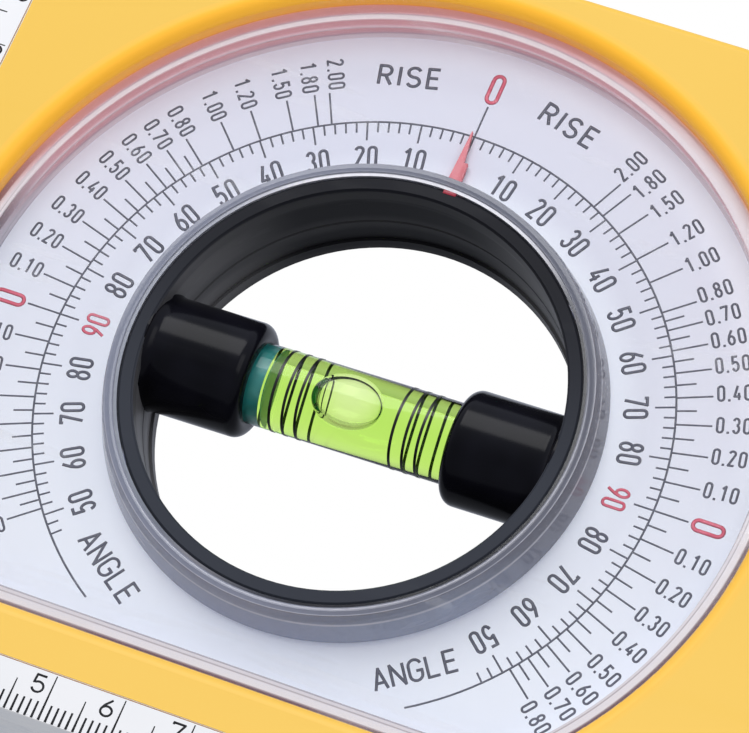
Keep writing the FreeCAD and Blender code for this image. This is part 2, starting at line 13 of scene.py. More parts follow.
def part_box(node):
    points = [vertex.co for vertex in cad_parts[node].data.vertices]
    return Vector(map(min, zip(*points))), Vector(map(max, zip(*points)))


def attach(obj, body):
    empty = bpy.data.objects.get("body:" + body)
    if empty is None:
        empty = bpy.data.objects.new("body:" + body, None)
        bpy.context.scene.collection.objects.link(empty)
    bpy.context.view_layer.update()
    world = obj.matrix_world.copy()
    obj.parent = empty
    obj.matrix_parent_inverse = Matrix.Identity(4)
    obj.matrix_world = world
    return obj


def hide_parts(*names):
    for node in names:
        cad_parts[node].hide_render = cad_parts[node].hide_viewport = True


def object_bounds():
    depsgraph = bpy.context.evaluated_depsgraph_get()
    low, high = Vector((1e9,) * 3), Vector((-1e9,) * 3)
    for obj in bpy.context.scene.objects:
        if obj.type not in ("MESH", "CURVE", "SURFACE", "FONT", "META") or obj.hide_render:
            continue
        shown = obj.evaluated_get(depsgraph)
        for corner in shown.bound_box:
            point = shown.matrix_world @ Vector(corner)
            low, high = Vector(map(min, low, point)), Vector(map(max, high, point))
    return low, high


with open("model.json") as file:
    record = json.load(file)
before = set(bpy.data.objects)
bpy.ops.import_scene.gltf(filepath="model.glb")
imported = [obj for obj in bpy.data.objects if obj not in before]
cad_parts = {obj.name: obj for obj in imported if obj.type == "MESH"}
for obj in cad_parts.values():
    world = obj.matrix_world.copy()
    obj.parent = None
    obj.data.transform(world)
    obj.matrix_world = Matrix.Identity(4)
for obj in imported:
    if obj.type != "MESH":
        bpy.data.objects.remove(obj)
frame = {"nodes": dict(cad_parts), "record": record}
CAD_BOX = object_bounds()

LOG = logging.getLogger("inclinometer")
MM = 0.001
Colour = tuple[float, float, float, float]
Place = tuple[float, float, float]
Point = tuple[float, float]
Span = tuple[float, float]
Stops = Sequence[tuple[float, str]]
RISING: Span = (0.0, 1.0)
FALLING: Span = (1.0, 0.0)
TONES: Span = (0.3, 0.7)
HEIGHTS: Span = (0.2, 0.8)
DARK = "000000"
SAME_PLACE = 1e-7
SAME_HEIGHT = 1e-6
STAND = Matrix.Rotation(math.radians(90.0), 3, "X")
ALONG_X = Matrix.Rotation(math.radians(90.0), 3, "Y")


class Body(Enum):
    """The two bodies of the tool."""

    CASE = "case"
    ROTOR = "rotor"


class Slot(Enum):
    """The material slots of the record."""

    COVER = "cover_clear"
    LABEL = "ruler_white"
    RED = "pointer_red"
    INK = "marker_black"
    VIAL = "vial_clear"


class Ink(Enum):
    """The printing inks, with one that paints the shade of the gap at the labels' edges."""

    GREY = "grey"
    RED = "red"
    BLACK = "black"
    BORDER = "border"


INK_TONES: dict[Ink, tuple[str, str]] = {
    Ink.GREY: ("5E6170", "6D707E"),
    Ink.RED: ("E0647C", "E87A8E"),
    Ink.BLACK: ("1E1F22", "2E2F33"),
    # A brown line along the labels' inner edges: painted shade of the gap between each label and the case.
    Ink.BORDER: ("B07A4A", "B98656"),
}


def colour(code: str) -> Colour:
    """Turn a display colour into linear light.

    Args:
        code: Six hexadecimal digits.

    Returns:
        Red, green, blue and an alpha of 1.
    """
    channels = [int(code[i:i + 2], 16) / 255 for i in (0, 2, 4)]
    linear = [c / 12.92 if c <= 0.04045 else ((c + 0.055) / 1.055) ** 2.4 for c in channels]
    return (linear[0], linear[1], linear[2], 1.0)


def turned(angle: float, length: float = 1.0) -> Point:
    """Give a point on a circle.

    Args:
        angle: Clockwise from straight up, in degrees.
        length: Radius of the circle.

    Returns:
        The point's place across and up.
    """
    return (length * math.sin(math.radians(angle)), length * math.cos(math.radians(angle)))


class NodeBook:
    """Short calls that add nodes to one node tree."""

    def __init__(self, tree: bpy.types.NodeTree) -> None:
        """Keep the tree.

        Args:
            tree: A material's, group's or world's node tree.
        """
        self.tree = tree

    def node(self, kind: str, **settings: Any) -> bpy.types.Node:
        """Add a node.

        Args:
            kind: The node's type name.
            settings: Properties to set on it.

        Returns:
            The new node.
        """
        made = self.tree.nodes.new(kind)
        for name, value in settings.items():
            setattr(made, name, value)
        return made

    def wire(self, value: Any, socket: bpy.types.NodeSocket) -> None:
        """Link an output to a socket, or set the socket to a plain value.

        Args:
            value: An output socket, a number or a tuple.
            socket: The input socket.
        """
        if isinstance(value, bpy.types.NodeSocket):
            self.tree.links.new(value, socket)
        else:
            socket.default_value = value

    def maths(self, operation: str, *parts: Any) -> bpy.types.NodeSocket:
        """Join values by Math nodes, one after another.

        Args:
            operation: The nodes' operation.
            parts: The values or sockets, or a single one where the operation takes one.

        Returns:
            The result socket.
        """
        result = parts[0]
        for part in parts[1:] or (0.0,):
            made = self.node("ShaderNodeMath", operation=operation)
            self.wire(result, made.inputs[0])
            self.wire(part, made.inputs[1])
            result = made.outputs[0]
        return result

    def span(self, value: Any, given: Span, result: Span = RISING) -> Any:
        """Map a value smoothly from one span to another, without going past the ends.

        Args:
            value: The value or socket.
            given: Where the span begins and ends.
            result: What it gives there.

        Returns:
            The result socket.
        """
        made = self.node("ShaderNodeMapRange", interpolation_type="SMOOTHSTEP")
        for part, socket in zip((value, *given, *result), made.inputs):
            self.wire(part, socket)
        return made.outputs[0]

    def ramp(self, value: Any, stops: Stops, length: float = 1.0) -> Any:
        """Add a colour ramp.

        Args:
            value: The value or socket that runs along the ramp.
            stops: Places and display colours.
            length: The value at which the ramp ends.

        Returns:
            The colour socket.
        """
        made = self.node("ShaderNodeValToRGB")
        bar = made.color_ramp.elements
        while len(bar) < len(stops):
            bar.new(1.0)
        for element, (place, code) in zip(bar, stops):
            element.position = place / length
            element.color = colour(code)
        self.wire(self.maths("DIVIDE", value, length), made.inputs[0])
        return made.outputs[0]

    def mix(self, share: Any, first: Any, second: Any) -> Any:
        """Mix two colours.

        Args:
            share: How much of the second colour there is.
            first: A display colour, a tuple or a socket.
            second: The same for the other colour.

        Returns:
            The colour socket.
        """
        made = self.node("ShaderNodeMix", data_type="RGBA")
        self.wire(share, made.inputs[0])
        for part, socket in ((first, made.inputs[6]), (second, made.inputs[7])):
            self.wire(colour(part) if isinstance(part, str) else part, socket)
        return made.outputs[2]

    def blend(self, share: Any, first: Any, second: Any) -> Any:
        """Mix two shaders.

        Args:
            share: How much of the second shader there is.
            first: The first shader's socket.
            second: The second shader's socket.

        Returns:
            The shader socket.
        """
        made = self.node("ShaderNodeMixShader")
        for part, socket in zip((share, first, second), made.inputs):
            self.wire(part, socket)
        return made.outputs[0]

    def noise(self, place: Any, size: float, detail: float) -> Any:
        """Add a noise texture.

        Args:
            place: The coordinate socket, in metres.
            size: Size of the grains in millimetres.
            detail: Octaves of detail.

        Returns:
            The noise value.
        """
        made = self.node("ShaderNodeTexNoise")
        self.wire(place, made.inputs["Vector"])
        made.inputs["Scale"].default_value = 1.0 / (size * MM)
        made.inputs["Detail"].default_value = detail
        return made.outputs[0]


class Effect(NodeBook):
    """A shader node group with named inputs and outputs."""

    def __init__(self, name: str, inputs: dict[str, Any], outputs: Iterable[str]) -> None:
        """Make the empty group.

        Args:
            name: The group's name.
            inputs: Each input's name and plain value; None makes a vector input.
            outputs: Names of the value outputs.
        """
        tree = bpy.data.node_groups.new(name, "ShaderNodeTree")
        super().__init__(tree)
        for title, value in inputs.items():
            kind = "NodeSocketVector" if value is None else "NodeSocketFloat"
            socket = tree.interface.new_socket(title, in_out="INPUT", socket_type=kind)
            if value is not None:
                socket.default_value = value
        for title in outputs:
            tree.interface.new_socket(title, in_out="OUTPUT", socket_type="NodeSocketFloat")
        self.given = self.node("NodeGroupInput").outputs
        self.result = self.node("NodeGroupOutput").inputs


class Effects:
    """The effects that several materials share."""

    scratch_lines: tuple[Span, ...] = ((0.6, 24.0), (-0.9, 30.0))
    scratch_scale: float = 0.02
    scratch_span: Span = (0.64, 0.7)
    noise_detail: float = 2.0

    def __init__(self, axis_height: float) -> None:
        """Build each group once.

        Args:
            axis_height: Height of the dial's axis in metres.
        """
        self.grain = self.moulded_grain()
        self.place = self.dial_place(axis_height)
        self.scratches = self.fine_scratches()

    @staticmethod
    def moulded_grain() -> bpy.types.NodeTree:
        """Build the spark-eroded grain of a moulding, with a slow change of tone.

        Returns:
            The group.
        """
        effect = Effect("moulded_grain", {"Vector": None, "Grain": 0.25, "Cloud": 14.0}, ("Height", "Tone"))
        for title, source, detail in (("Height", "Grain", 2.0), ("Tone", "Cloud", 1.0)):
            noise = effect.node("ShaderNodeTexNoise")
            noise.inputs["Detail"].default_value = detail
            effect.wire(effect.given["Vector"], noise.inputs["Vector"])
            effect.wire(effect.maths("DIVIDE", 1.0 / MM, effect.given[source]), noise.inputs["Scale"])
            effect.wire(noise.outputs[0], effect.result[title])
        return effect.tree

    @staticmethod
    def dial_place(axis_height: float) -> bpy.types.NodeTree:
        """Build the place on the dial: radius and depth in millimetres, and the way it faces.

        Args:
            axis_height: Height of the axis in metres.

        Returns:
            The group. Toward is 1 in the heading's direction and -1 opposite to it.
        """
        outputs = ("Radius", "Depth", "Toward", "Height")
        effect = Effect("dial_place", {"Vector": None, "Heading": 0.0}, outputs)
        split = effect.node("ShaderNodeSeparateXYZ")
        effect.wire(effect.given["Vector"], split.inputs[0])
        across = effect.maths("DIVIDE", split.outputs[0], MM)
        above = effect.maths("DIVIDE", effect.maths("SUBTRACT", split.outputs[2], axis_height), MM)
        squares = effect.maths("ADD", effect.maths("POWER", across, 2.0), effect.maths("POWER", above, 2.0))
        radius = effect.maths("SQRT", squares)
        turn = effect.maths("RADIANS", effect.given["Heading"])
        along = effect.maths("ADD", effect.maths("MULTIPLY", across, effect.maths("SINE", turn)),
                             effect.maths("MULTIPLY", above, effect.maths("COSINE", turn)))
        effect.wire(radius, effect.result["Radius"])
        effect.wire(effect.maths("DIVIDE", split.outputs[1], MM), effect.result["Depth"])
        effect.wire(effect.maths("DIVIDE", along, radius), effect.result["Toward"])
        effect.wire(effect.maths("DIVIDE", split.outputs[2], MM), effect.result["Height"])
        return effect.tree

    def fine_scratches(self) -> bpy.types.NodeTree:
        """Build fine handling marks: long thin lines that show in the gloss.

        Returns:
            The group.
        """
        effect = Effect("fine_scratches", {"Vector": None, "Size": 1.2}, ("Marks",))
        marks = []
        for turn, stretch in self.scratch_lines:
            mapping = effect.node("ShaderNodeMapping")
            mapping.inputs["Rotation"].default_value = (turn, turn / 2, turn)
            mapping.inputs["Scale"].default_value = (1.0, stretch, stretch / 3)
            effect.wire(effect.given["Vector"], mapping.inputs[0])
            noise = effect.node("ShaderNodeTexNoise")
            noise.inputs["Detail"].default_value = self.noise_detail
            effect.wire(mapping.outputs[0], noise.inputs["Vector"])
            scale = effect.maths("DIVIDE", self.scratch_scale / MM, effect.given["Size"])
            effect.wire(scale, noise.inputs["Scale"])
            marks.append(effect.span(noise.outputs[0], self.scratch_span))
        effect.wire(effect.maths("MAXIMUM", marks[0], marks[1]), effect.result["Marks"])
        return effect.tree


class Finish(NodeBook):
    """A material round one Principled shader."""

    def __init__(self, name: str, effects: Effects) -> None:
        """Make the material with its shader.

        Args:
            name: The material's name.
            effects: The shared effects.
        """
        self.material = bpy.data.materials.new(name)
        self.material.use_nodes = True
        super().__init__(self.material.node_tree)
        self.shader = self.tree.nodes["Principled BSDF"]
        self.effects = effects
        self.place = self.node("ShaderNodeTexCoord").outputs["Object"]

    def put(self, **values: Any) -> None:
        """Set or link sockets of the shader.

        Args:
            values: Socket names, with underscores for spaces, and their values.
        """
        for title, value in values.items():
            self.wire(value, self.shader.inputs[title.replace("_", " ")])

    def effect(self, tree: bpy.types.NodeTree, **values: float) -> Any:
        """Place a shared effect.

        Args:
            tree: The effect's group.
            values: Plain values of its inputs.

        Returns:
            The group node's outputs.
        """
        made = self.node("ShaderNodeGroup", node_tree=tree)
        self.wire(self.place, made.inputs["Vector"])
        for title, value in values.items():
            made.inputs[title].default_value = value
        return made.outputs

    def grain(self, size: float = 0.25, cloud: float = 14.0) -> Any:
        """Place the moulded grain.

        Args:
            size: Size of the grain in millimetres.
            cloud: Size of the changes in tone.

        Returns:
            The outputs Height and Tone.
        """
        return self.effect(self.effects.grain, Grain=size, Cloud=cloud)

    def dial(self, heading: float = 0.0) -> Any:
        """Give the place on the dial.

        Args:
            heading: The way that Toward is measured by, clockwise from the top in degrees.

        Returns:
            The outputs Radius, Depth, Toward and Height.
        """
        return self.effect(self.effects.place, Heading=heading)

    def half_turn(self, toward: Any) -> Any:
        """Turn a share from -1 to 1 into one from 0 to 1.

        Args:
            toward: The share's socket.

        Returns:
            The new share.
        """
        return self.maths("ADD", self.maths("MULTIPLY", toward, 0.5), 0.5)

    def cloudy(self, tone: Any, first: str, second: str, given: Span = TONES) -> Any:
        """Mix two colours by a tone that changes slowly.

        Args:
            tone: The tone's socket.
            first: A display colour.
            second: The other colour.
            given: Where the change begins and ends.

        Returns:
            The colour socket.
        """
        return self.mix(self.span(tone, given), first, second)

    def machined(self, stretch: Place, size: float) -> Any:
        """Give the fine lines of a machined surface.

        Args:
            stretch: How strongly the lines change along each axis.
            size: Their width in millimetres.

        Returns:
            The lines' value.
        """
        mapping = self.node("ShaderNodeMapping")
        mapping.inputs["Scale"].default_value = stretch
        self.wire(self.place, mapping.inputs[0])
        return self.noise(mapping.outputs[0], size, 2.0)

    def roughen(self, height: Any, middle: float, spread: float, given: Span = HEIGHTS) -> None:
        """Let the roughness follow a height.

        Args:
            height: The height's socket.
            middle: The middle roughness.
            spread: How far it goes to each side.
            given: Where the change begins and ends.
        """
        self.put(Roughness=self.span(height, given, (middle - spread, middle + spread)))

    def wear(self, roughness: float, change: float) -> None:
        """Set the roughness, with handling marks in it.

        Args:
            roughness: The roughness between the marks.
            change: What a mark adds.
        """
        marks = self.effect(self.effects.scratches)["Marks"]
        self.put(Roughness=self.maths("ADD", roughness, self.maths("MULTIPLY", marks, change)))

    def glow(self, share: Any, tint: Any, strength: float) -> None:
        """Add painted light: an emission that brightens this place as a stand-in for bounce light.

        Args:
            share: Where it shows.
            tint: Its colour.
            strength: Its strength.
        """
        self.put(Emission_Color=self.mix(share, DARK, tint), Emission_Strength=strength)

    def bump(self, height: Any, depth: float) -> None:
        """Raise the surface by a height.

        Args:
            height: The height socket, from 0 to 1.
            depth: The full height in millimetres.
        """
        made = self.node("ShaderNodeBump")
        made.inputs["Distance"].default_value = depth * MM
        self.wire(height, made.inputs["Height"])
        self.put(Normal=made.outputs[0])


class Look:
    """The looks of one material."""

    name: str

    def wire(self, finish: Finish) -> None:
        """Wire the material's shader.

        Args:
            finish: The material to wire.
        """
        raise NotImplementedError

    def make(self, effects: Effects) -> bpy.types.Material:
        """Make the material.

        Args:
            effects: The shared effects.

        Returns:
            The material.
        """
        finish = Finish(self.name, effects)
        self.wire(finish)
        return finish.material


@dataclass(frozen=True)
class Moulding(Look):
    """A material in two close tones, with a fine grain or with handling marks."""

    name: str
    base: str
    shade: str
    roughness: float = 0.5
    spread: float = 0.05
    wear: float = 0.0
    gloss: float = 0.5
    grain: float = 0.25
    cloud: float = 14.0
    tones: Span = (0.35, 0.75)
    depth: float = 0.006

    def wire(self, finish: Finish) -> None:
        """Wire the material's shader.

        Args:
            finish: The material to wire.
        """
        grain = finish.grain(self.grain, self.cloud)
        finish.put(Base_Color=finish.cloudy(grain["Tone"], self.base, self.shade, self.tones))
        finish.put(Specular_IOR_Level=self.gloss)
        if self.wear:
            finish.wear(self.roughness, self.wear)
        else:
            finish.roughen(grain["Height"], self.roughness, self.spread)
        if self.depth:
            finish.bump(grain["Height"], self.depth)


@dataclass(frozen=True)
class PolishedPlastic(Moulding):
    """A glossy moulding with faint handling marks."""

    wear: float = 0.12
    grain: float = 1.6
    cloud: float = 6.0
    tones: Span = TONES
    depth: float = 0.002


@dataclass(frozen=True)
class PrintInk(Moulding):
    """Ink printed on a plate, a little uneven in tone."""

    roughness: float = 0.525
    spread: float = 0.075
    gloss: float = 0.2
    grain: float = 0.12
    cloud: float = 1.4
    depth: float = 0.0


@dataclass(frozen=True)
class CasePlastic(Look):
    """The yellow case, painted a deeper orange with a painted glow round the window as shade and bounce
    light, a little deeper along the straight edge under it as shade, and lighter towards the bottom as
    painted light.
    """

    name: str = "case_yellow_moulding"
    base: str = "F8CA50"
    shade: str = "F7C84C"
    # A lighter tone towards the bottom: painted light.
    low: str = "FED05E"
    # A deeper orange: painted shade round the window and along the straight edge under it.
    deep: str = "FBBC34"
    # The colour of the painted glow round the window.
    glow: str = "FFAE2C"
    glow_strength: float = 0.2
    roughness: float = 0.42
    gloss: float = 0.35
    wear: float = 0.06
    grain: float = 0.3
    cloud: float = 30.0
    depth: float = 0.005
    # Where the painted shade and glow round the window fall, strongest at the upper left.
    deep_heading: float = -30.0
    deep_side: Span = (-0.9, 0.9)
    deep_share: Span = (0.35, 1.0)
    deep_radius: Span = (60.5, 62.0)
    deep_height: Span = (13.4, 14.6)
    # Where the painted shade along the straight edge under the window falls.
    chord_height: Span = (11.0, 13.7)
    chord_share: Span = (0.0, 0.15)
    chord_radius: Span = (50.3, 59.3)
    front_depth: Span = (0.0, 3.0)
    low_height: Span = (20.0, 80.0)

    def wire(self, finish: Finish) -> None:
        """Wire the material's shader.

        Args:
            finish: The material to wire.
        """
        grain = finish.grain(self.grain, self.cloud)
        dial = finish.dial(self.deep_heading)
        front = finish.span(dial["Depth"], self.front_depth, FALLING)
        side = finish.span(dial["Toward"], self.deep_side, self.deep_share)
        rim = finish.span(dial["Radius"], self.deep_radius, FALLING)
        # Painted shade and glow in a band round the window, on the front only.
        deep = finish.maths("MULTIPLY", rim, finish.span(dial["Height"], self.deep_height), side, front)
        chord = finish.span(dial["Height"], self.chord_height, self.chord_share)
        # Painted shade along the straight edge under the window.
        low = finish.maths("MULTIPLY", chord, finish.span(dial["Radius"], self.chord_radius, FALLING), front)
        plain = finish.cloudy(grain["Tone"], self.base, self.shade)
        # Painted light: lighter towards the bottom.
        plain = finish.mix(finish.span(dial["Height"], self.low_height), self.low, plain)
        finish.put(Base_Color=finish.mix(finish.maths("MAXIMUM", deep, low), plain, self.deep))
        finish.put(Specular_IOR_Level=self.gloss)
        finish.glow(deep, self.glow, self.glow_strength)
        finish.wear(self.roughness, self.wear)
        finish.bump(grain["Height"], self.depth)


@dataclass(frozen=True)
class Metal(Look):
    """A metal with fine lines from its machining."""

    name: str
    base: str
    shade: str
    roughness: float
    line: float = 0.12
    stretch: Place = (0.04, 1.0, 1.0)
    cloud: float = 18.0
    metallic: Span = (0.85, 0.95)
    spread: float = 0.08
    line_span: Span = (0.25, 0.75)
    depth: float = 0.004

    def wire(self, finish: Finish) -> None:
        """Wire the material's shader.

        Args:
            finish: The material to wire.
        """
        lines = finish.machined(self.stretch, self.line)
        tone = finish.grain(cloud=self.cloud)["Tone"]
        finish.put(Base_Color=finish.cloudy(tone, self.base, self.shade))
        finish.put(Metallic=finish.span(lines, RISING, self.metallic))
        finish.roughen(lines, self.roughness, self.spread, self.line_span)
        finish.bump(lines, self.depth)


@dataclass(frozen=True)
class Anodised(Look):
    """The pale matt aluminium of the two edges, which reads as light grey rather than as a mirror."""

    name: str = "edge_anodised"
    base: str = "F0F4FC"
    shade: str = "F8FAFF"
    roughness: float = 0.45
    spread: float = 0.06
    line: float = 0.1
    stretch: Place = (0.03, 1.0, 0.2)
    grain: float = 0.12
    tones: Span = (0.35, 0.65)
    metallic: Span = (0.12, 0.2)
    line_span: Span = (0.25, 0.75)
    depth: float = 0.003

    def wire(self, finish: Finish) -> None:
        """Wire the material's shader.

        Args:
            finish: The material to wire.
        """
        lines = finish.machined(self.stretch, self.line)
        grain = finish.grain(self.grain)
        finish.put(Base_Color=finish.cloudy(lines, self.base, self.shade, self.tones))
        finish.put(Metallic=finish.span(grain["Tone"], TONES, self.metallic))
        finish.roughen(lines, self.roughness, self.spread, self.line_span)
        finish.bump(grain["Height"], self.depth)


@dataclass(frozen=True)
class RingPlastic(Look):
    """The matt black of the turning ring, its face painted lighter at the bottom and darker at the top as
    light and shade, its bore painted lighter at the sides as a reflection, with the soft bands that its bore
    shows.
    """

    name: str = "ring_black_matt"
    # Lit and shaded copies of the face: painted light and shade, lighter at the bottom and darker at the top.
    face: str = "31353F"
    shaded_face: str = "12131B"
    # The bore painted lighter at the sides and darker at the top and bottom: painted reflection and shade.
    bore: str = "1C1C20"
    lit_bore: str = "68686C"
    band: str = "3C3C40"
    roughness: float = 0.5
    gloss: float = 0.16
    wear: float = -0.08
    grain: float = 0.2
    cloud: float = 9.0
    depth: float = 0.008
    face_heading: float = 175.0
    face_side: Span = (-0.8, 0.4)
    face_depth: Span = (-8.15, -7.25)
    bore_heading: float = 75.0
    bore_side: Span = (0.35, 0.95)
    band_rate: float = 0.75
    band_span: Span = (0.2, 1.6)
    band_share: Span = (0.0, 0.6)

    def wire(self, finish: Finish) -> None:
        """Wire the material's shader.

        Args:
            finish: The material to wire.
        """
        dial = finish.dial(self.face_heading)
        grain = finish.grain(self.grain, self.cloud)
        waves = finish.maths("SINE", finish.maths("MULTIPLY", dial["Depth"], self.band_rate))
        bands = finish.span(finish.maths("ADD", waves, grain["Tone"]), self.band_span, self.band_share)
        sideways = finish.maths("ABSOLUTE", finish.dial(self.bore_heading)["Toward"])
        # Painted reflection and shade: the bore lighter at the sides, darker at the top and bottom.
        bore = finish.mix(finish.span(sideways, self.bore_side), self.bore, self.lit_bore)
        inner = finish.mix(bands, bore, self.band)
        # Painted light and shade: the face lighter at the bottom and darker at the top.
        face = finish.mix(finish.span(dial["Toward"], self.face_side), self.shaded_face, self.face)
        finish.put(Base_Color=finish.mix(finish.span(dial["Depth"], self.face_depth), face, inner))
        finish.put(Specular_IOR_Level=self.gloss)
        finish.wear(self.roughness, self.wear)
        finish.bump(grain["Height"], self.depth)


@dataclass(frozen=True)
class PlatePaint(Look):
    """The pale lacquer of the dial plate, with painted light near the rim, the straight edge and the collar
    where shade falls: a brighter tone and a painted glow; also painted lighter towards the bottom, and a
    little darker towards the right.
    """

    name: str = "dial_lacquer"
    base: str = "DDE1F2"
    # A lighter tone towards the bottom: painted light.
    low: str = "EDF3FF"
    right: str = "DEE1F1"
    # A brighter tone and a painted glow near the edges: painted light where shade falls.
    edge: str = "F3F8FF"
    glow: str = "A8B8FF"
    glow_strength: float = 0.09
    roughness: float = 0.56
    spread: float = 0.06
    grain: float = 0.15
    cloud: float = 25.0
    depth: float = 0.002
    # Where the painted light near the rim, the straight edge and the collar falls.
    rim_radius: Span = (50.0, 57.0)
    chord_height: Span = (14.0, 23.0)
    collar_radius: Span = (34.0, 40.0)
    low_height: Span = (20.0, 95.0)
    right_heading: float = 80.0
    right_side: Span = (0.2, 0.95)
    tone_share: Span = (0.0, 0.35)

    def wire(self, finish: Finish) -> None:
        """Wire the material's shader.

        Args:
            finish: The material to wire.
        """
        dial = finish.dial()
        grain = finish.grain(self.grain, self.cloud)
        rim = finish.span(dial["Radius"], self.rim_radius)
        chord = finish.span(dial["Height"], self.chord_height, FALLING)
        collar = finish.span(dial["Radius"], self.collar_radius, FALLING)
        # Painted light near the rim, the straight edge and the collar.
        edges = finish.maths("MAXIMUM", rim, chord, collar)
        right = finish.span(finish.dial(self.right_heading)["Toward"], self.right_side)
        tone = finish.span(grain["Tone"], TONES, self.tone_share)
        plain = finish.mix(finish.maths("MAXIMUM", tone, right), self.base, self.right)
        # Painted light: lighter towards the bottom.
        plain = finish.mix(finish.span(dial["Height"], self.low_height), self.low, plain)
        finish.put(Base_Color=finish.mix(edges, plain, self.edge))
        finish.glow(edges, self.glow, self.glow_strength)
        finish.roughen(grain["Height"], self.roughness, self.spread)
        finish.bump(grain["Height"], self.depth)


@dataclass(frozen=True)
class Line:
    """A painted highlight line in the collar: its place, half its width, and where it shows."""

    place: float
    half: float
    side: Span = RISING
    share: Span = RISING

    def across(self, finish: Finish, value: Any) -> Any:
        """Give the line's share of the colour.

        Args:
            finish: The material to wire.
            value: The value that runs across the line.

        Returns:
            The share, 1 in the line's middle.
        """
        rise = finish.span(value, (self.place - self.half, self.place))
        fall = finish.span(value, (self.place, self.place + self.half), FALLING)
        return finish.maths("MULTIPLY", rise, fall)

    def lit(self, finish: Finish, value: Any, toward: Any) -> Any:
        """Give the share of a line that shows on the lit side.

        Args:
            finish: The material to wire.
            value: The value that runs across the line.
            toward: How much the place faces the light.

        Returns:
            The share.
        """
        shown = finish.span(toward, self.side, self.share)
        return finish.maths("MULTIPLY", self.across(finish, value), shown)


@dataclass(frozen=True)
class CollarAcrylic(Look):
    """The collar's grey look: clear acrylic in front of the black ring, painted lighter and darker by heading
    as light and shade, with painted highlights in its corners, painted shade under its lip and at its foot,
    and painted light on its inner wall and on the top of its lip.
    """

    name: str = "collar_acrylic"
    inner: float = 32.1
    front: float = -8.55
    wall: float = 6.3
    alpha: float = 0.88
    roughness: float = 0.12
    wear: float = 0.2
    depth: float = 0.006
    # Headings by which the painted light, shade and highlights fall.
    dark_heading: float = 75.0
    lip_heading: float = 115.0
    up_heading: float = -5.0
    lit_heading: float = 150.0
    # Grey tones by heading: painted light and shade, darker on the side away from the light.
    face_tones: Stops = (
        (0.0, "858A9E"), (0.37, "888C9F"), (0.63, "797C8C"), (0.75, "6D7080"), (1.0, "686A78"))
    wall_tones: Stops = (
        (0.0, "8B91A6"), (0.37, "9CA3BB"), (0.6, "9AA4BC"), (0.78, "96A0B8"), (0.9, "7A7F90"),
        (1.0, "70727F"))
    lip_tones: Stops = (
        (0.0, "9A9FAE"), (0.3, "9096A4"), (0.46, "777C8A"), (0.54, "8A8A94"), (0.71, "3D3F4A"),
        (0.785, "22222A"), (1.0, "18191E"))
    # A light band on the inner wall, darker deeper down: painted light and shade.
    inner_wall: Stops = (
        (0.0, "8A8C99"), (0.3, "9496A2"), (0.6, "E0E0EA"), (1.7, "E0E0EA"), (2.4, "5A5C66"))
    # Painted highlights: light lines at the face's corners and on the wall, and their tones.
    inner_line: Line = Line(0.28, 0.13, (-0.05, 0.45), (0.0, 0.7))
    outer_line: Line = Line(1.18, 0.12, (-0.4, 0.3), (0.1, 0.65))
    wall_line: Line = Line(2.0, 0.3)
    wall_line_share: float = 0.8
    line_tone: str = "C4C6D6"
    wall_line_tone: str = "D4D6E2"
    # Painted shade under the lip and at the foot, and painted light on the top of the lip.
    shade_tone: str = "5A5D6C"
    top_lip_tone: str = "EAEAF4"
    haze_tone: str = "666C7C"
    haze_size: float = 0.9
    haze_detail: float = 4.0
    haze_span: Span = (0.45, 0.8)
    haze_share: Span = (0.0, 0.15)
    # Where the painted shade under the lip and at the foot, and the painted light on the top of the lip,
    # fall.
    under_depth: Span = (1.6, 1.85)
    under_share: Span = (0.35, 0.0)
    under_side: Span = (0.25, 0.65)
    foot_depth: Span = (5.7, 6.2)
    foot_share: Span = (0.0, 0.3)
    up_side: Span = (0.6, 0.95)
    wall_reach: Span = (0.05, 0.1)
    face_depth: Span = (0.08, 0.16)
    lip_reach: Span = (-0.06, -0.03)

    def wire(self, finish: Finish) -> None:
        """Wire the material's shader.

        Args:
            finish: The material to wire.
        """
        dial = finish.dial(self.dark_heading)
        across = finish.maths("SUBTRACT", dial["Radius"], self.inner)
        down = finish.maths("SUBTRACT", dial["Depth"], self.front)
        turn = finish.half_turn(dial["Toward"])
        lit = finish.dial(self.lit_heading)["Toward"]
        # Painted highlights over the face's tones.
        lines = [line.lit(finish, across, lit) for line in (self.inner_line, self.outer_line)]
        face = finish.mix(finish.maths("MAXIMUM", *lines), finish.ramp(turn, self.face_tones), self.line_tone)
        # Painted shade under the lip and at the foot.
        under_lip = finish.span(down, self.under_depth, self.under_share)
        shaded = finish.maths("MULTIPLY", under_lip, finish.span(turn, self.under_side))
        foot = finish.span(down, self.foot_depth, self.foot_share)
        outer = finish.ramp(turn, self.wall_tones)
        outer = finish.mix(finish.maths("MAXIMUM", shaded, foot), outer, self.shade_tone)
        # A painted highlight on the wall.
        line = finish.maths("MULTIPLY", self.wall_line.across(finish, down), self.wall_line_share)
        outer = finish.mix(line, outer, self.wall_line_tone)
        # The lip painted light and shade by heading, lightest at the top.
        lip = finish.ramp(finish.half_turn(finish.dial(self.lip_heading)["Toward"]), self.lip_tones)
        upward = finish.span(finish.dial(self.up_heading)["Toward"], self.up_side)
        lip = finish.mix(upward, lip, self.top_lip_tone)
        # The inner wall's painted light band.
        inner = finish.ramp(down, self.inner_wall, self.wall)
        wall = finish.mix(finish.span(across, self.wall_reach), inner, outer)
        tint = finish.mix(finish.span(down, self.face_depth), face, wall)
        tint = finish.mix(finish.span(across, self.lip_reach), lip, tint)
        haze = finish.noise(finish.place, self.haze_size, self.haze_detail)
        clouds = finish.span(haze, self.haze_span, self.haze_share)
        finish.put(Base_Color=finish.mix(clouds, tint, self.haze_tone))
        finish.put(Alpha=self.alpha)
        finish.wear(self.roughness, self.wear)
        finish.bump(haze, self.depth)


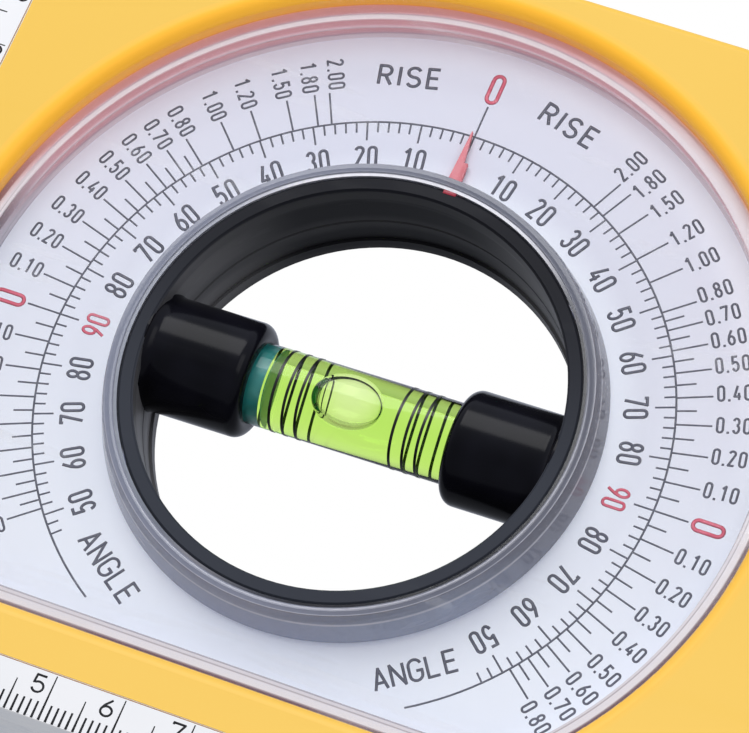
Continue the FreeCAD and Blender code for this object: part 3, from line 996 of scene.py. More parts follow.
@dataclass(frozen=True)
class RimAcrylic(Look):
    """The clear rim's look: bands of colour painted for the case's wall and seal seen through its thickness,
    the upper wall with a pink band painted as the wall in shade, and a painted glow on the upper part,
    strongest at the left, where it lies in shade.
    """

    name: str = "rim_acrylic"
    outer: float = 59.2
    chord_height: float = 14.1
    front: float = -8.53
    wall: float = 7.5
    width: float = 2.2
    shift: float = 0.2
    chord_extra: float = 0.75
    wide_heading: float = 135.0
    right_heading: float = 90.0
    roughness: float = 0.15
    wear: float = 0.15
    glow_strength: float = 0.2
    alpha: Span = (0.9, 0.2)
    length: float = 2.3
    covered_side: Span = (0.6, 1.0)
    covered: Span = (0.0, 0.22)
    right_side: Span = (0.1, 0.65)
    low_side: Span = (0.05, 0.42)
    wall_reach: Span = (2.12, 2.2)
    glow_side: Span = (0.2, 0.75)
    glow_share: Span = (1.0, 0.3)
    open_depth: Span = (4.0, 5.0)
    # The case's wall seen through the rim; its upper part has a pink band painted as the wall in shade.
    lower_wall: str = "DDDCE9"
    upper_left: Stops = (
        (0.0, "D8A090"), (0.2, "D2989A"), (1.2, "C48E9A"), (1.45, "A0889A"), (1.65, "C8C0CA"),
        (2.3, "CCC4CE"))
    upper_right: Stops = (
        (0.0, "F8C8A8"), (0.2, "E8C8C0"), (0.35, "C8AEBC"), (0.8, "CDC0CC"), (1.6, "D6CFDB"), (2.3, "D2CBD8"))
    lower: Stops = (
        (0.0, "6A4C5A"), (0.64, "6A4C5A"), (0.78, "A898A6"), (0.9, "ECECF8"), (1.55, "EAEAF6"),
        (1.66, "A8A2B0"), (1.78, "E2E0EC"), (1.98, "E2E0EC"), (2.1, "9A96A6"), (2.3, "DCDCE8"))
    upper_wall: Stops = (
        (0.0, "DCD0D6"), (2.1, "DCC0C4"), (2.4, "D08C92"), (3.5, "D49298"), (4.1, "E0BCC2"), (5.0, "E4DCE4"),
        (7.5, "E6E4F0"))

    def wire(self, finish: Finish) -> None:
        """Wire the material's shader.

        Args:
            finish: The material to wire.
        """
        right = finish.dial(self.right_heading)
        facing = finish.dial(self.wide_heading)["Toward"]
        width = finish.maths("ADD", self.width + self.shift, finish.maths("MULTIPLY", facing, self.shift))
        deep = finish.maths("DIVIDE", finish.maths("SUBTRACT", self.outer, right["Radius"]), width)
        covered = finish.span(facing, self.covered_side, self.covered)
        deep = finish.maths("SUBTRACT", finish.maths("MULTIPLY", deep, self.width), covered)
        over_chord = finish.maths("SUBTRACT", right["Height"], self.chord_height)
        over_chord = finish.maths("MULTIPLY", over_chord, self.width / (self.width + self.chord_extra))
        across = finish.maths("MINIMUM", deep, over_chord)
        down = finish.maths("SUBTRACT", right["Depth"], self.front)
        left_tone, right_tone, low_tone = (finish.ramp(across, stops, self.length)
                                           for stops in (self.upper_left, self.upper_right, self.lower))
        upper = finish.mix(finish.span(right["Toward"], self.right_side), left_tone, right_tone)
        low = finish.span(finish.dial()["Toward"], self.low_side, FALLING)
        face = finish.mix(low, upper, low_tone)
        wall = finish.mix(low, finish.ramp(down, self.upper_wall, self.wall), self.lower_wall)
        inward = finish.span(across, self.wall_reach)
        tint = finish.mix(inward, face, wall)
        # Painted glow on the upper part, strongest at the left, where it lies in shade.
        upper_share = finish.maths("SUBTRACT", 1.0, low)
        left_share = finish.span(right["Toward"], self.glow_side, self.glow_share)
        shaded = finish.maths("MULTIPLY", upper_share, left_share)
        unseen = finish.maths("MAXIMUM", low, finish.span(down, self.open_depth))
        open_wall = finish.maths("MULTIPLY", inward, unseen)
        finish.put(Base_Color=tint, Alpha=finish.span(open_wall, RISING, self.alpha))
        finish.glow(shaded, tint, self.glow_strength)
        finish.wear(self.roughness, self.wear)


@dataclass(frozen=True)
class ClearAcrylic(Look):
    """The flat clear sheet, seen mostly by its glints and faint marks, with a pale painted sheen where it is
    seen at a grazing angle.
    """

    name: str = "sheet_acrylic"
    tint: str = "F0F1F8"
    marked: Span = (0.02, 0.12)
    roughness: float = 0.06
    # The painted sheen: the sheet is made more opaque and pale at grazing angles.
    edge_blend: float = 0.25
    edge_share: float = 0.35

    def wire(self, finish: Finish) -> None:
        """Wire the material's shader.

        Args:
            finish: The material to wire.
        """
        # Painted sheen at grazing angles, as opacity in the pale tint.
        edge = finish.node("ShaderNodeLayerWeight")
        edge.inputs["Blend"].default_value = self.edge_blend
        painted_sheen = finish.maths("MULTIPLY", edge.outputs["Facing"], self.edge_share)
        cover = finish.span(finish.effect(finish.effects.scratches)["Marks"], RISING, self.marked)
        finish.put(Base_Color=colour(self.tint), Roughness=self.roughness)
        finish.put(Alpha=finish.maths("MAXIMUM", cover, painted_sheen))


@dataclass(frozen=True)
class TintedVial(Look):
    """The vial's clear tube and its lime spirit as one refracting body that tints by its thickness."""

    name: str = "vial_lime"
    skin: str = "FFFFFF"
    taken_colour: Colour = (0.69, 0.907, 0.098, 1.0)
    taken_share: float = 190.0
    ior: float = 1.33

    def wire(self, finish: Finish) -> None:
        """Wire the material's shader and its volume.

        Args:
            finish: The material to wire.
        """
        finish.put(Base_Color=colour(self.skin), Roughness=0.0, IOR=self.ior, Transmission_Weight=1.0)
        inside = finish.node("ShaderNodeVolumeAbsorption")
        inside.inputs["Color"].default_value = self.taken_colour
        inside.inputs["Density"].default_value = self.taken_share
        finish.wire(inside.outputs[0], finish.tree.nodes["Material Output"].inputs["Volume"])


@dataclass(frozen=True)
class PointerPlastic(Look):
    """The translucent red of the needle, paler along its middle."""

    name: str = "pointer_red_clear"
    base: str = "E2707E"
    shade: str = "DC6474"
    edge: str = "D04458"
    heading: float = 89.0
    edge_reach: Span = (0.3, 1.1)
    edge_share: Span = (0.0, 0.7)
    roughness: float = 0.2
    spread: float = 0.05
    alpha: float = 0.92
    grain: float = 0.5
    cloud: float = 2.5
    tones: Span = (0.4, 0.8)

    def wire(self, finish: Finish) -> None:
        """Wire the material's shader.

        Args:
            finish: The material to wire.
        """
        dial = finish.dial(self.heading)
        across = finish.maths("ABSOLUTE", finish.maths("MULTIPLY", dial["Toward"], dial["Radius"]))
        side = finish.span(across, self.edge_reach, self.edge_share)
        grain = finish.grain(self.grain, self.cloud)
        plain = finish.cloudy(grain["Tone"], self.base, self.shade, self.tones)
        finish.put(Base_Color=finish.mix(side, plain, self.edge), Alpha=self.alpha)
        finish.roughen(grain["Height"], self.roughness, self.spread)


def mesh_object(name: str, shape: bmesh.types.BMesh) -> bpy.types.Object:
    """Turn a finished bmesh into an object at the origin.

    Args:
        name: The piece's name.
        shape: The bmesh, which is freed.

    Returns:
        The new object.
    """
    bmesh.ops.recalc_face_normals(shape, faces=shape.faces)
    return raw_object(name, shape)


def raw_object(name: str, shape: bmesh.types.BMesh, smooth_angle: float = 35.0) -> bpy.types.Object:
    """Turn a bmesh into an object and leave its faces turned as they are.

    Args:
        name: The piece's name.
        shape: The bmesh, which is freed.
        smooth_angle: Edges sharper than this stay sharp, in degrees.

    Returns:
        The new object.
    """
    mesh = bpy.data.meshes.new(name)
    shape.to_mesh(mesh)
    shape.free()
    mesh.shade_smooth()
    mesh.set_sharp_from_angle(angle=math.radians(smooth_angle))
    made = bpy.data.objects.new(name, mesh)
    bpy.context.scene.collection.objects.link(made)
    return made


def bar(size: Place, middle: Place, rounding: float, segments: int) -> bmesh.types.BMesh:
    """Make a bar with rounded edges.

    Args:
        size: Its three sizes in millimetres.
        middle: Its middle in millimetres.
        rounding: How far the rounding reaches from each edge.
        segments: Steps of the rounding.

    Returns:
        The bar, in metres.
    """
    shape = bmesh.new()
    bmesh.ops.create_cube(shape, size=1.0)
    bmesh.ops.scale(shape, verts=shape.verts, vec=size)
    bmesh.ops.bevel(shape, geom=shape.edges[:], offset=rounding, segments=segments, profile=0.5,
                    affect="EDGES", material=-1)
    bmesh.ops.translate(shape, verts=shape.verts, vec=middle)
    bmesh.ops.scale(shape, verts=shape.verts, vec=(MM, MM, MM))
    return shape


def fit_piece(piece: bpy.types.Object, material: bpy.types.Material, body: Body, slot: Slot,
              stands_for: Sequence[str] = ()) -> None:
    """Dress a new piece and tie it to the model.

    Args:
        piece: The new object.
        material: Its finish.
        body: The body that it rides on.
        slot: Not used.
        stands_for: CAD nodes that it replaces.
    """
    piece.data.materials.clear()
    piece.data.materials.append(material)
    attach(piece, body.value)
    if stands_for:
        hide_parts(*stands_for)
    LOG.info("made %s: %d faces", piece.name, len(piece.data.polygons))


def dress(material: bpy.types.Material, *nodes: str) -> None:
    """Give CAD nodes a finish.

    Args:
        material: The finish.
        nodes: Names of the nodes.
    """
    for name in nodes:
        for slot in frame["nodes"][name].material_slots:
            slot.link = "OBJECT"
            slot.material = material
        LOG.info("dressed %s in %s", name, material.name)


@dataclass(frozen=True)
class PhotoCamera:
    """The photograph's viewpoint, in millimetres and degrees."""

    target: Place = (-0.025, -1.05, 65.39)
    distance: float = 692.08
    azimuth: float = 16.874
    elevation: float = -20.127
    roll: float = 24.146
    lens: float = 244.88
    sensor: float = 36.0
    nearest: float = 10.0
    farthest: float = 20000.0

    def place(self) -> None:
        """Make the camera and give it to the scene."""
        turn = math.radians(self.azimuth)
        tilt = math.radians(self.elevation)
        back = Vector((math.sin(turn) * math.cos(tilt), -math.cos(turn) * math.cos(tilt), math.sin(tilt)))
        level = Vector((math.cos(turn), math.sin(turn), 0.0))
        rise = back.cross(level)
        roll = math.radians(self.roll)
        right = level * math.cos(roll) + rise * math.sin(roll)
        up = back.cross(right)
        lens = bpy.data.cameras.new("photo_camera")
        lens.lens = self.lens
        lens.sensor_width = self.sensor
        lens.clip_start = self.nearest * MM
        lens.clip_end = self.farthest * MM
        camera = bpy.data.objects.new("photo_camera", lens)
        place = Vector(self.target) * MM + back * self.distance * MM
        turned_to = Matrix((right, up, back)).transposed().to_4x4()
        camera.matrix_world = Matrix.Translation(place) @ turned_to
        bpy.context.scene.collection.objects.link(camera)
        bpy.context.scene.camera = camera
        LOG.info("camera at %s", tuple(round(v, 4) for v in place))


@dataclass(frozen=True)
class SoftBox:
    """One area lamp."""

    name: str
    place: Place
    size: float
    power: float

    def hang(self, target: Vector) -> None:
        """Make the lamp and point it.

        Args:
            target: Where it points.
        """
        lamp = bpy.data.lights.new(self.name, "AREA")
        lamp.shape = "SQUARE"
        lamp.size = self.size
        lamp.energy = self.power
        made = bpy.data.objects.new(self.name, lamp)
        place = Vector(self.place)
        aim = (target - place).to_track_quat("-Z", "Y").to_matrix().to_4x4()
        made.matrix_world = Matrix.Translation(place) @ aim
        bpy.context.scene.collection.objects.link(made)


@dataclass(frozen=True)
class Studio:
    """Plain floor, soft boxes and a white surround."""

    fill: float = 0.62
    aim: Place = (0.0, 0.0, 0.06)
    floor_radius: float = 1.6
    floor_sides: int = 64
    floor_drop: float = 0.0004
    floor_colour: str = "F2F2F3"
    floor_roughness: float = 0.9
    floor_gloss: float = 0.1
    white: str = "FFFFFF"
    mirror_tone: str = "E4EAFA"
    mirror_rise: Span = (-0.5, 0.7)
    mirror_strength: Span = (0.35, 1.0)
    boxes: tuple[SoftBox, ...] = (
        SoftBox("soft_box_above", (-0.4, -1.05, 0.85), 0.8, 7.4),
        SoftBox("soft_box_front", (0.55, -1.0, 0.2), 0.7, 2.0),
    )

    def build(self) -> None:
        """Make the floor, the lamps and the world."""
        for box in self.boxes:
            box.hang(Vector(self.aim))
        self.lay_floor()
        self.fill_world()
        LOG.info("studio with %d soft boxes", len(self.boxes))

    def lay_floor(self) -> None:
        """Make the pale floor, which can be seen through from below."""
        shape = bmesh.new()
        bmesh.ops.create_circle(shape, cap_ends=True, radius=self.floor_radius,
                                segments=self.floor_sides)
        bmesh.ops.translate(shape, verts=shape.verts, vec=(0.0, 0.0, -self.floor_drop))
        floor = raw_object("studio_floor", shape)
        if floor.data.polygons[0].normal.z < 0:
            floor.data.flip_normals()
        material = bpy.data.materials.new("studio_floor")
        material.use_nodes = True
        book = NodeBook(material.node_tree)
        paint = material.node_tree.nodes["Principled BSDF"]
        paint.inputs["Base Color"].default_value = colour(self.floor_colour)
        paint.inputs["Roughness"].default_value = self.floor_roughness
        paint.inputs["Specular IOR Level"].default_value = self.floor_gloss
        below = book.node("ShaderNodeNewGeometry").outputs["Backfacing"]
        clear = book.node("ShaderNodeBsdfTransparent")
        both = book.blend(below, paint.outputs[0], clear.outputs[0])
        book.wire(both, material.node_tree.nodes["Material Output"].inputs[0])
        floor.data.materials.append(material)
        floor.visible_diffuse = False
        floor.visible_glossy = False

    def fill_world(self) -> None:
        """Make the surround: white where it is seen, softer where it lights the tool."""
        world = bpy.data.worlds.new("white_studio")
        world.use_nodes = True
        bpy.context.scene.world = world
        book = NodeBook(world.node_tree)
        world.node_tree.nodes.clear()
        path = book.node("ShaderNodeLightPath").outputs
        way = book.node("ShaderNodeSeparateXYZ")
        book.wire(book.node("ShaderNodeTexCoord").outputs["Generated"], way.inputs[0])
        mirrored = book.span(way.outputs[2], self.mirror_rise, self.mirror_strength)
        skies = []
        for tone, strength in ((self.white, self.fill), (self.mirror_tone, mirrored), (self.white, 1.0)):
            sky = book.node("ShaderNodeBackground")
            book.wire(colour(tone), sky.inputs["Color"])
            book.wire(strength, sky.inputs["Strength"])
            skies.append(sky.outputs[0])
        light, mirror, seen = skies
        direct = book.maths("MAXIMUM", path["Is Camera Ray"], path["Is Transmission Ray"])
        lighting = book.blend(path["Is Glossy Ray"], light, mirror)
        book.wire(book.blend(direct, lighting, seen), book.node("ShaderNodeOutputWorld").inputs[0])
        bpy.context.scene.view_settings.view_transform = "Standard"


def bend(across: float, up: float, wide: float, high: float, start: float, end: float,
         step: float = 24.0) -> list[Point]:
    """Give points along part of an ellipse.

    Args:
        across: Centre across.
        up: Centre up.
        wide: Half width.
        high: Half height.
        start: First angle in degrees.
        end: Last angle in degrees.
        step: About how many degrees lie between two points.

    Returns:
        The points.
    """
    steps = max(3, round(abs(end - start) / step))
    angles = [math.radians(start + (end - start) * i / steps) for i in range(steps + 1)]
    return [(across + wide * math.cos(a), up + high * math.sin(a)) for a in angles]


@dataclass(frozen=True)
class StrokeFont:
    """A narrow drawing-office alphabet made of single strokes, in millimetres."""

    height: float
    width: float
    stroke: float
    gap: float

    def glyph(self, sign: str) -> list[list[Point]]:
        """Give the strokes of a sign.

        Args:
            sign: A digit, a point or one of the letters that the dial uses.

        Returns:
            Strokes as lists of points, with the lower left corner at the origin.
        """
        w = self.width
        h = self.height - self.stroke
        r = w / 2
        if sign == "9":
            return [[(w - x, h - y) for x, y in stroke] for stroke in self.glyph("6")]
        shapes: dict[str, list[list[Point]]] = {
            "0": [bend(r, h - r, r, r, 180, 0) + bend(r, r, r, r, 0, -180) + [(0.0, h - r)]],
            "1": [[(0.1 * w, 0.8 * h), (0.62 * w, h), (0.62 * w, 0.0)]],
            "2": [bend(r, h - r, r, r, 175, -20) + [(0.0, 0.0), (w, 0.0)]],
            "3": [bend(r, 0.76 * h, 0.92 * r, 0.24 * h, 165, -80), bend(r, 0.27 * h, r, 0.27 * h, 80, -165)],
            "4": [[(0.62 * w, h), (0.0, 0.25 * h), (1.1 * w, 0.25 * h)],
                  [(0.78 * w, 0.5 * h), (0.78 * w, 0.0)]],
            "5": [[(0.95 * w, h), (0.1 * w, h), (0.05 * w, 0.54 * h)]
                  + bend(r, 0.31 * h, r, 0.31 * h, 125, -160)],
            "6": [[(0.74 * w, h), (0.2 * w, 0.62 * h)] + bend(r, 0.29 * h, r, 0.29 * h, 165, 525)],
            "7": [[(0.0, 0.88 * h), (0.0, h), (w, h), (0.3 * w, 0.0)]],
            "8": [bend(r, 0.77 * h, 0.88 * r, 0.23 * h, -90, 270), bend(r, 0.27 * h, r, 0.27 * h, 90, 450)],
            ".": [[(0.0, -0.5 * self.stroke), (0.0, 0.5 * self.stroke)]],
            "R": [[(0.0, 0.0), (0.0, h), (0.5 * w, h)] + bend(0.5 * w, 0.75 * h, 0.45 * w, 0.25 * h, 70, -90)
                  + [(0.0, 0.5 * h)], [(0.5 * w, 0.5 * h), (w, 0.0)]],
            "I": [[(0.0, 0.0), (0.0, h)]],
            "S": [bend(r, 0.75 * h, r, 0.25 * h, 20, 260) + bend(r, 0.25 * h, r, 0.25 * h, 80, -160)],
            "E": [[(0.9 * w, h), (0.0, h), (0.0, 0.0), (0.9 * w, 0.0)],
                  [(0.0, 0.52 * h), (0.8 * w, 0.52 * h)]],
            "A": [[(0.0, 0.0), (r, h), (w, 0.0)], [(0.17 * w, 0.32 * h), (0.83 * w, 0.32 * h)]],
            "N": [[(0.0, 0.0), (0.0, h), (w, 0.0), (w, h)]],
            "G": [bend(r, h - r, r, r, 15, 180) + bend(r, r, r, r, 180, 360)
                  + [(w, 0.46 * h), (0.55 * w, 0.46 * h)]],
            "L": [[(0.0, h), (0.0, 0.0), (0.9 * w, 0.0)]],
        }
        return shapes[sign]

    def advance(self, sign: str) -> float:
        """Give the width that a sign takes, without the gap after it.

        Args:
            sign: The sign.

        Returns:
            The width.
        """
        return self.stroke + (0.0 if sign in ".I" else self.width)

    def lay(self, text: str) -> list[list[Point]]:
        """Lay out a line of text round the origin.

        Args:
            text: The text.

        Returns:
            Strokes as lists of points.
        """
        length = sum(self.advance(sign) + self.gap for sign in text) - self.gap
        place = -length / 2 + self.stroke / 2
        low = -self.height / 2 + self.stroke / 2
        strokes: list[list[Point]] = []
        for sign in text:
            strokes += [[(place + x, low + y) for x, y in stroke] for stroke in self.glyph(sign)]
            place += self.advance(sign) + self.gap
        return strokes


@dataclass
class PrintRun:
    """Strokes of one ink, gathered in the plane of the plate and then made one thin mesh."""

    thickness: float = 0.03
    corner_reach: float = 0.35
    splines: list[tuple[list[Point], list[float]]] = field(default_factory=list)

    def stroke(self, points: Sequence[Point], width: float, end_width: float | None = None) -> None:
        """Add a stroke.

        Args:
            points: Its points in millimetres.
            width: Width at its start.
            end_width: Width at its end, if it tapers.
        """
        last = width if end_width is None else end_width
        steps = len(points) - 1
        widths = [width + (last - width) * i / steps for i in range(steps + 1)]
        self.splines.append((list(points), widths))

    def write(self, text: str, font: StrokeFont, centre: Point, turn: float) -> None:
        """Add a line of text.

        Args:
            text: The text.
            font: Its alphabet.
            centre: Its middle.
            turn: Its direction, anticlockwise in degrees.
        """
        c = math.cos(math.radians(turn))
        s = math.sin(math.radians(turn))
        for points in font.lay(text):
            placed = [(centre[0] + x * c - y * s, centre[1] + x * s + y * c) for x, y in points]
            for piece in self.cut_corners(placed, font.stroke * self.corner_reach):
                self.stroke(piece, font.stroke)

    @staticmethod
    def cut_corners(points: Sequence[Point], reach: float, limit: float = 50.0) -> list[list[Point]]:
        """Cut a stroke at its sharp corners, so that each piece keeps its full width.

        Args:
            points: The stroke's points.
            reach: How far each piece runs past its corner.
            limit: The sharpest turn that stays whole, in degrees.

        Returns:
            The pieces.
        """
        spots = [Vector(point) for point in points]
        pieces = [[spots[0]]]
        for before, here, after in zip(spots, spots[1:], spots[2:]):
            coming = here - before
            going = after - here
            if coming.angle(going, 0.0) > math.radians(limit):
                pieces[-1].append(here + coming.normalized() * reach)
                pieces.append([here - going.normalized() * reach])
            else:
                pieces[-1].append(here)
        pieces[-1].append(spots[-1])
        return [[tuple(spot) for spot in piece] for piece in pieces]

    def build(self, name: str, plane: float) -> bpy.types.Object:
        """Make the mesh, flat on a plate that faces the front.

        Args:
            name: The piece's name.
            plane: Depth of the plate's face in millimetres.

        Returns:
            The new object.
        """
        path = bpy.data.curves.new(name + "_strokes", "CURVE")
        path.dimensions = "3D"
        path.twist_mode = "Z_UP"
        path.bevel_depth = 0.5
        path.bevel_resolution = 0
        path.use_fill_caps = True
        for points, widths in self.splines:
            spline = path.splines.new("POLY")
            spline.points.add(len(points) - 1)
            for spot, (x, y), width in zip(spline.points, points, widths):
                spot.co = (x, y, 0.0, 1.0)
                spot.radius = width
        carrier = bpy.data.objects.new(name + "_strokes", path)
        mesh = bpy.data.meshes.new_from_object(carrier)
        bpy.data.objects.remove(carrier)
        bpy.data.curves.remove(path)
        mesh.name = name
        tallest = max(abs(v.co.z) for v in mesh.vertices)
        squash = Matrix.Diagonal((1.0, 1.0, self.thickness / tallest, 1.0))
        place = Matrix.Translation((0.0, plane, 0.0))
        mesh.transform(Matrix.Scale(MM, 4) @ place @ STAND.to_4x4() @ squash)
        mesh.materials.clear()
        made = bpy.data.objects.new(name, mesh)
        bpy.context.scene.collection.objects.link(made)
        return made


@dataclass(frozen=True)
class DialPrint:
    """The printed angle and rise scales of the dial plate, in millimetres and degrees."""

    centre: Point = (-0.4, 58.3)
    radius: float = 44.0
    line_width: float = 0.29
    tick_width: float = 0.27
    end_angle: float = 148.0
    last_tick: int = 134
    tick_step: int = 2
    number_step: int = 10
    last_number: int = 130
    minor_share: float = 0.963
    major_share: float = 0.935
    angle_share: float = 0.876
    rise_line_share: float = 1.113
    rise_short_share: float = 1.063
    rise_text_share: float = 1.178
    top_text_share: float = 1.177
    angle_font: StrokeFont = StrokeFont(3.5, 1.04, 0.44, 0.34)
    rise_font: StrokeFont = StrokeFont(2.45, 0.78, 0.34, 0.35)
    zero_font: StrokeFont = StrokeFont(4.9, 1.5, 0.6, 0.4)
    word_font: StrokeFont = StrokeFont(3.4, 1.72, 0.48, 0.68)
    low_font: StrokeFont = StrokeFont(3.45, 1.7, 0.42, 0.3)
    word_angle: float = 13.55
    word_shift: float = 0.15
    word_share: float = 1.165
    word_turn: float = 13.6
    low_angles: tuple[tuple[int, float], ...] = ((-1, 145.5), (1, 144.6))
    low_share: float = 0.889
    rise_below: tuple[tuple[float, float], ...] = (
        (0.1, 0.0), (0.2, 0.0), (0.3, 0.0), (0.4, 0.0), (0.5, -0.3), (0.6, -0.1), (0.7, 0.0), (0.8, -0.4))
    rise_above: tuple[tuple[float, float], ...] = (
        (0.1, 0.2), (0.2, 0.3), (0.3, 0.2), (0.4, 0.4), (0.5, 0.4), (0.6, 0.35), (0.7, 0.35), (0.8, 0.75),
        (1.0, 0.07), (1.2, 0.07), (1.5, -0.27), (1.8, -0.45), (2.0, 1.1))
    rise_halves: tuple[float, ...] = (0.05, 0.15, 0.25, 0.35, 0.45, 0.55, 0.65, 0.75)

    def spot(self, angle: float, share: float) -> Point:
        """Give a place on the dial.

        Args:
            angle: Clockwise from the top in degrees.
            share: Share of the scale's radius.

        Returns:
            The place across and up, in millimetres.
        """
        x, z = turned(angle, self.radius * share)
        return (self.centre[0] + x, self.centre[1] + z)

    def ray(self, run: PrintRun, angle: float, start: float, end: float) -> None:
        """Add a line along a radius.

        Args:
            run: The ink's strokes.
            angle: Clockwise from the top in degrees.
            start: First share of the radius.
            end: Last share of the radius.
        """
        run.stroke([self.spot(angle, start), self.spot(angle, end)], self.tick_width)

    def angle_scale(self, grey: PrintRun, red: PrintRun) -> None:
        """Print the circle, its ticks and the angle numbers.

        Args:
            grey: Grey strokes.
            red: Red strokes.
        """
        sweep = round(self.end_angle)
        circle = [self.spot(angle, 1.0) for angle in range(-sweep, sweep + 1, self.tick_step)]
        grey.stroke(circle, self.line_width)
        for angle in range(-self.last_tick, self.last_tick + 1, self.tick_step):
            start = self.minor_share if angle % self.number_step else self.major_share
            self.ray(grey, angle, start, 1.0)
        self.ray(grey, 0.0, 1.0, self.rise_line_share)
        for side in (-1, 1):
            for angle in range(self.number_step, self.last_number + 1, self.number_step):
                number = angle if angle <= 90 else 180 - angle
                run = red if number == 90 else grey
                place = self.spot(side * angle, self.angle_share)
                run.write(str(number), self.angle_font, place, -side * angle)

    def rise_scale(self, grey: PrintRun, red: PrintRun) -> None:
        """Print the lines and numbers outside the circle.

        Args:
            grey: Grey strokes.
            red: Red strokes.
        """
        for side, reading in ((-1, 270.0), (1, 90.0)):
            for slope, values in ((-1, self.rise_above), (1, self.rise_below)):
                for value, lift in values:
                    angle = side * (90 + slope * math.degrees(math.atan(value)))
                    self.ray(grey, angle, 1.0, self.rise_line_share)
                    raised = angle - side * math.degrees(lift / (self.radius * self.rise_text_share))
                    centre = self.spot(raised, self.rise_text_share)
                    grey.write(f"{value:.2f}", self.rise_font, centre, reading - angle)
                for value in self.rise_halves:
                    angle = side * (90 + slope * math.degrees(math.atan(value)))
                    self.ray(grey, angle, 1.0, self.rise_short_share)
            self.ray(grey, side * 90, 1.0, self.rise_line_share)
            red.write("0", self.zero_font, self.spot(side * 90, self.top_text_share), -side * 90)

    def captions(self, grey: PrintRun, red: PrintRun) -> None:
        """Print the captions and the top zero.

        Args:
            grey: Grey strokes.
            red: Red strokes.
        """
        red.write("0", self.zero_font, self.spot(0.0, self.top_text_share), 0.0)
        for side, place in self.low_angles:
            word = self.spot(side * self.word_angle - self.word_shift, self.word_share)
            grey.write("RISE", self.word_font, word, -side * self.word_turn)
            grey.write("ANGLE", self.low_font, self.spot(side * place, self.low_share), 180 - side * place)

    def build(self, inks: dict[Ink, bpy.types.Material]) -> None:
        """Make the two printed pieces.

        Args:
            inks: The ink materials.
        """
        grey = PrintRun()
        red = PrintRun()
        self.angle_scale(grey, red)
        self.rise_scale(grey, red)
        self.captions(grey, red)
        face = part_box("dial_plate")[0].y / MM
        fit_piece(grey.build("dial_print_grey", face), inks[Ink.GREY], Body.CASE, Slot.INK)
        fit_piece(red.build("dial_print_red", face), inks[Ink.RED], Body.CASE, Slot.RED)


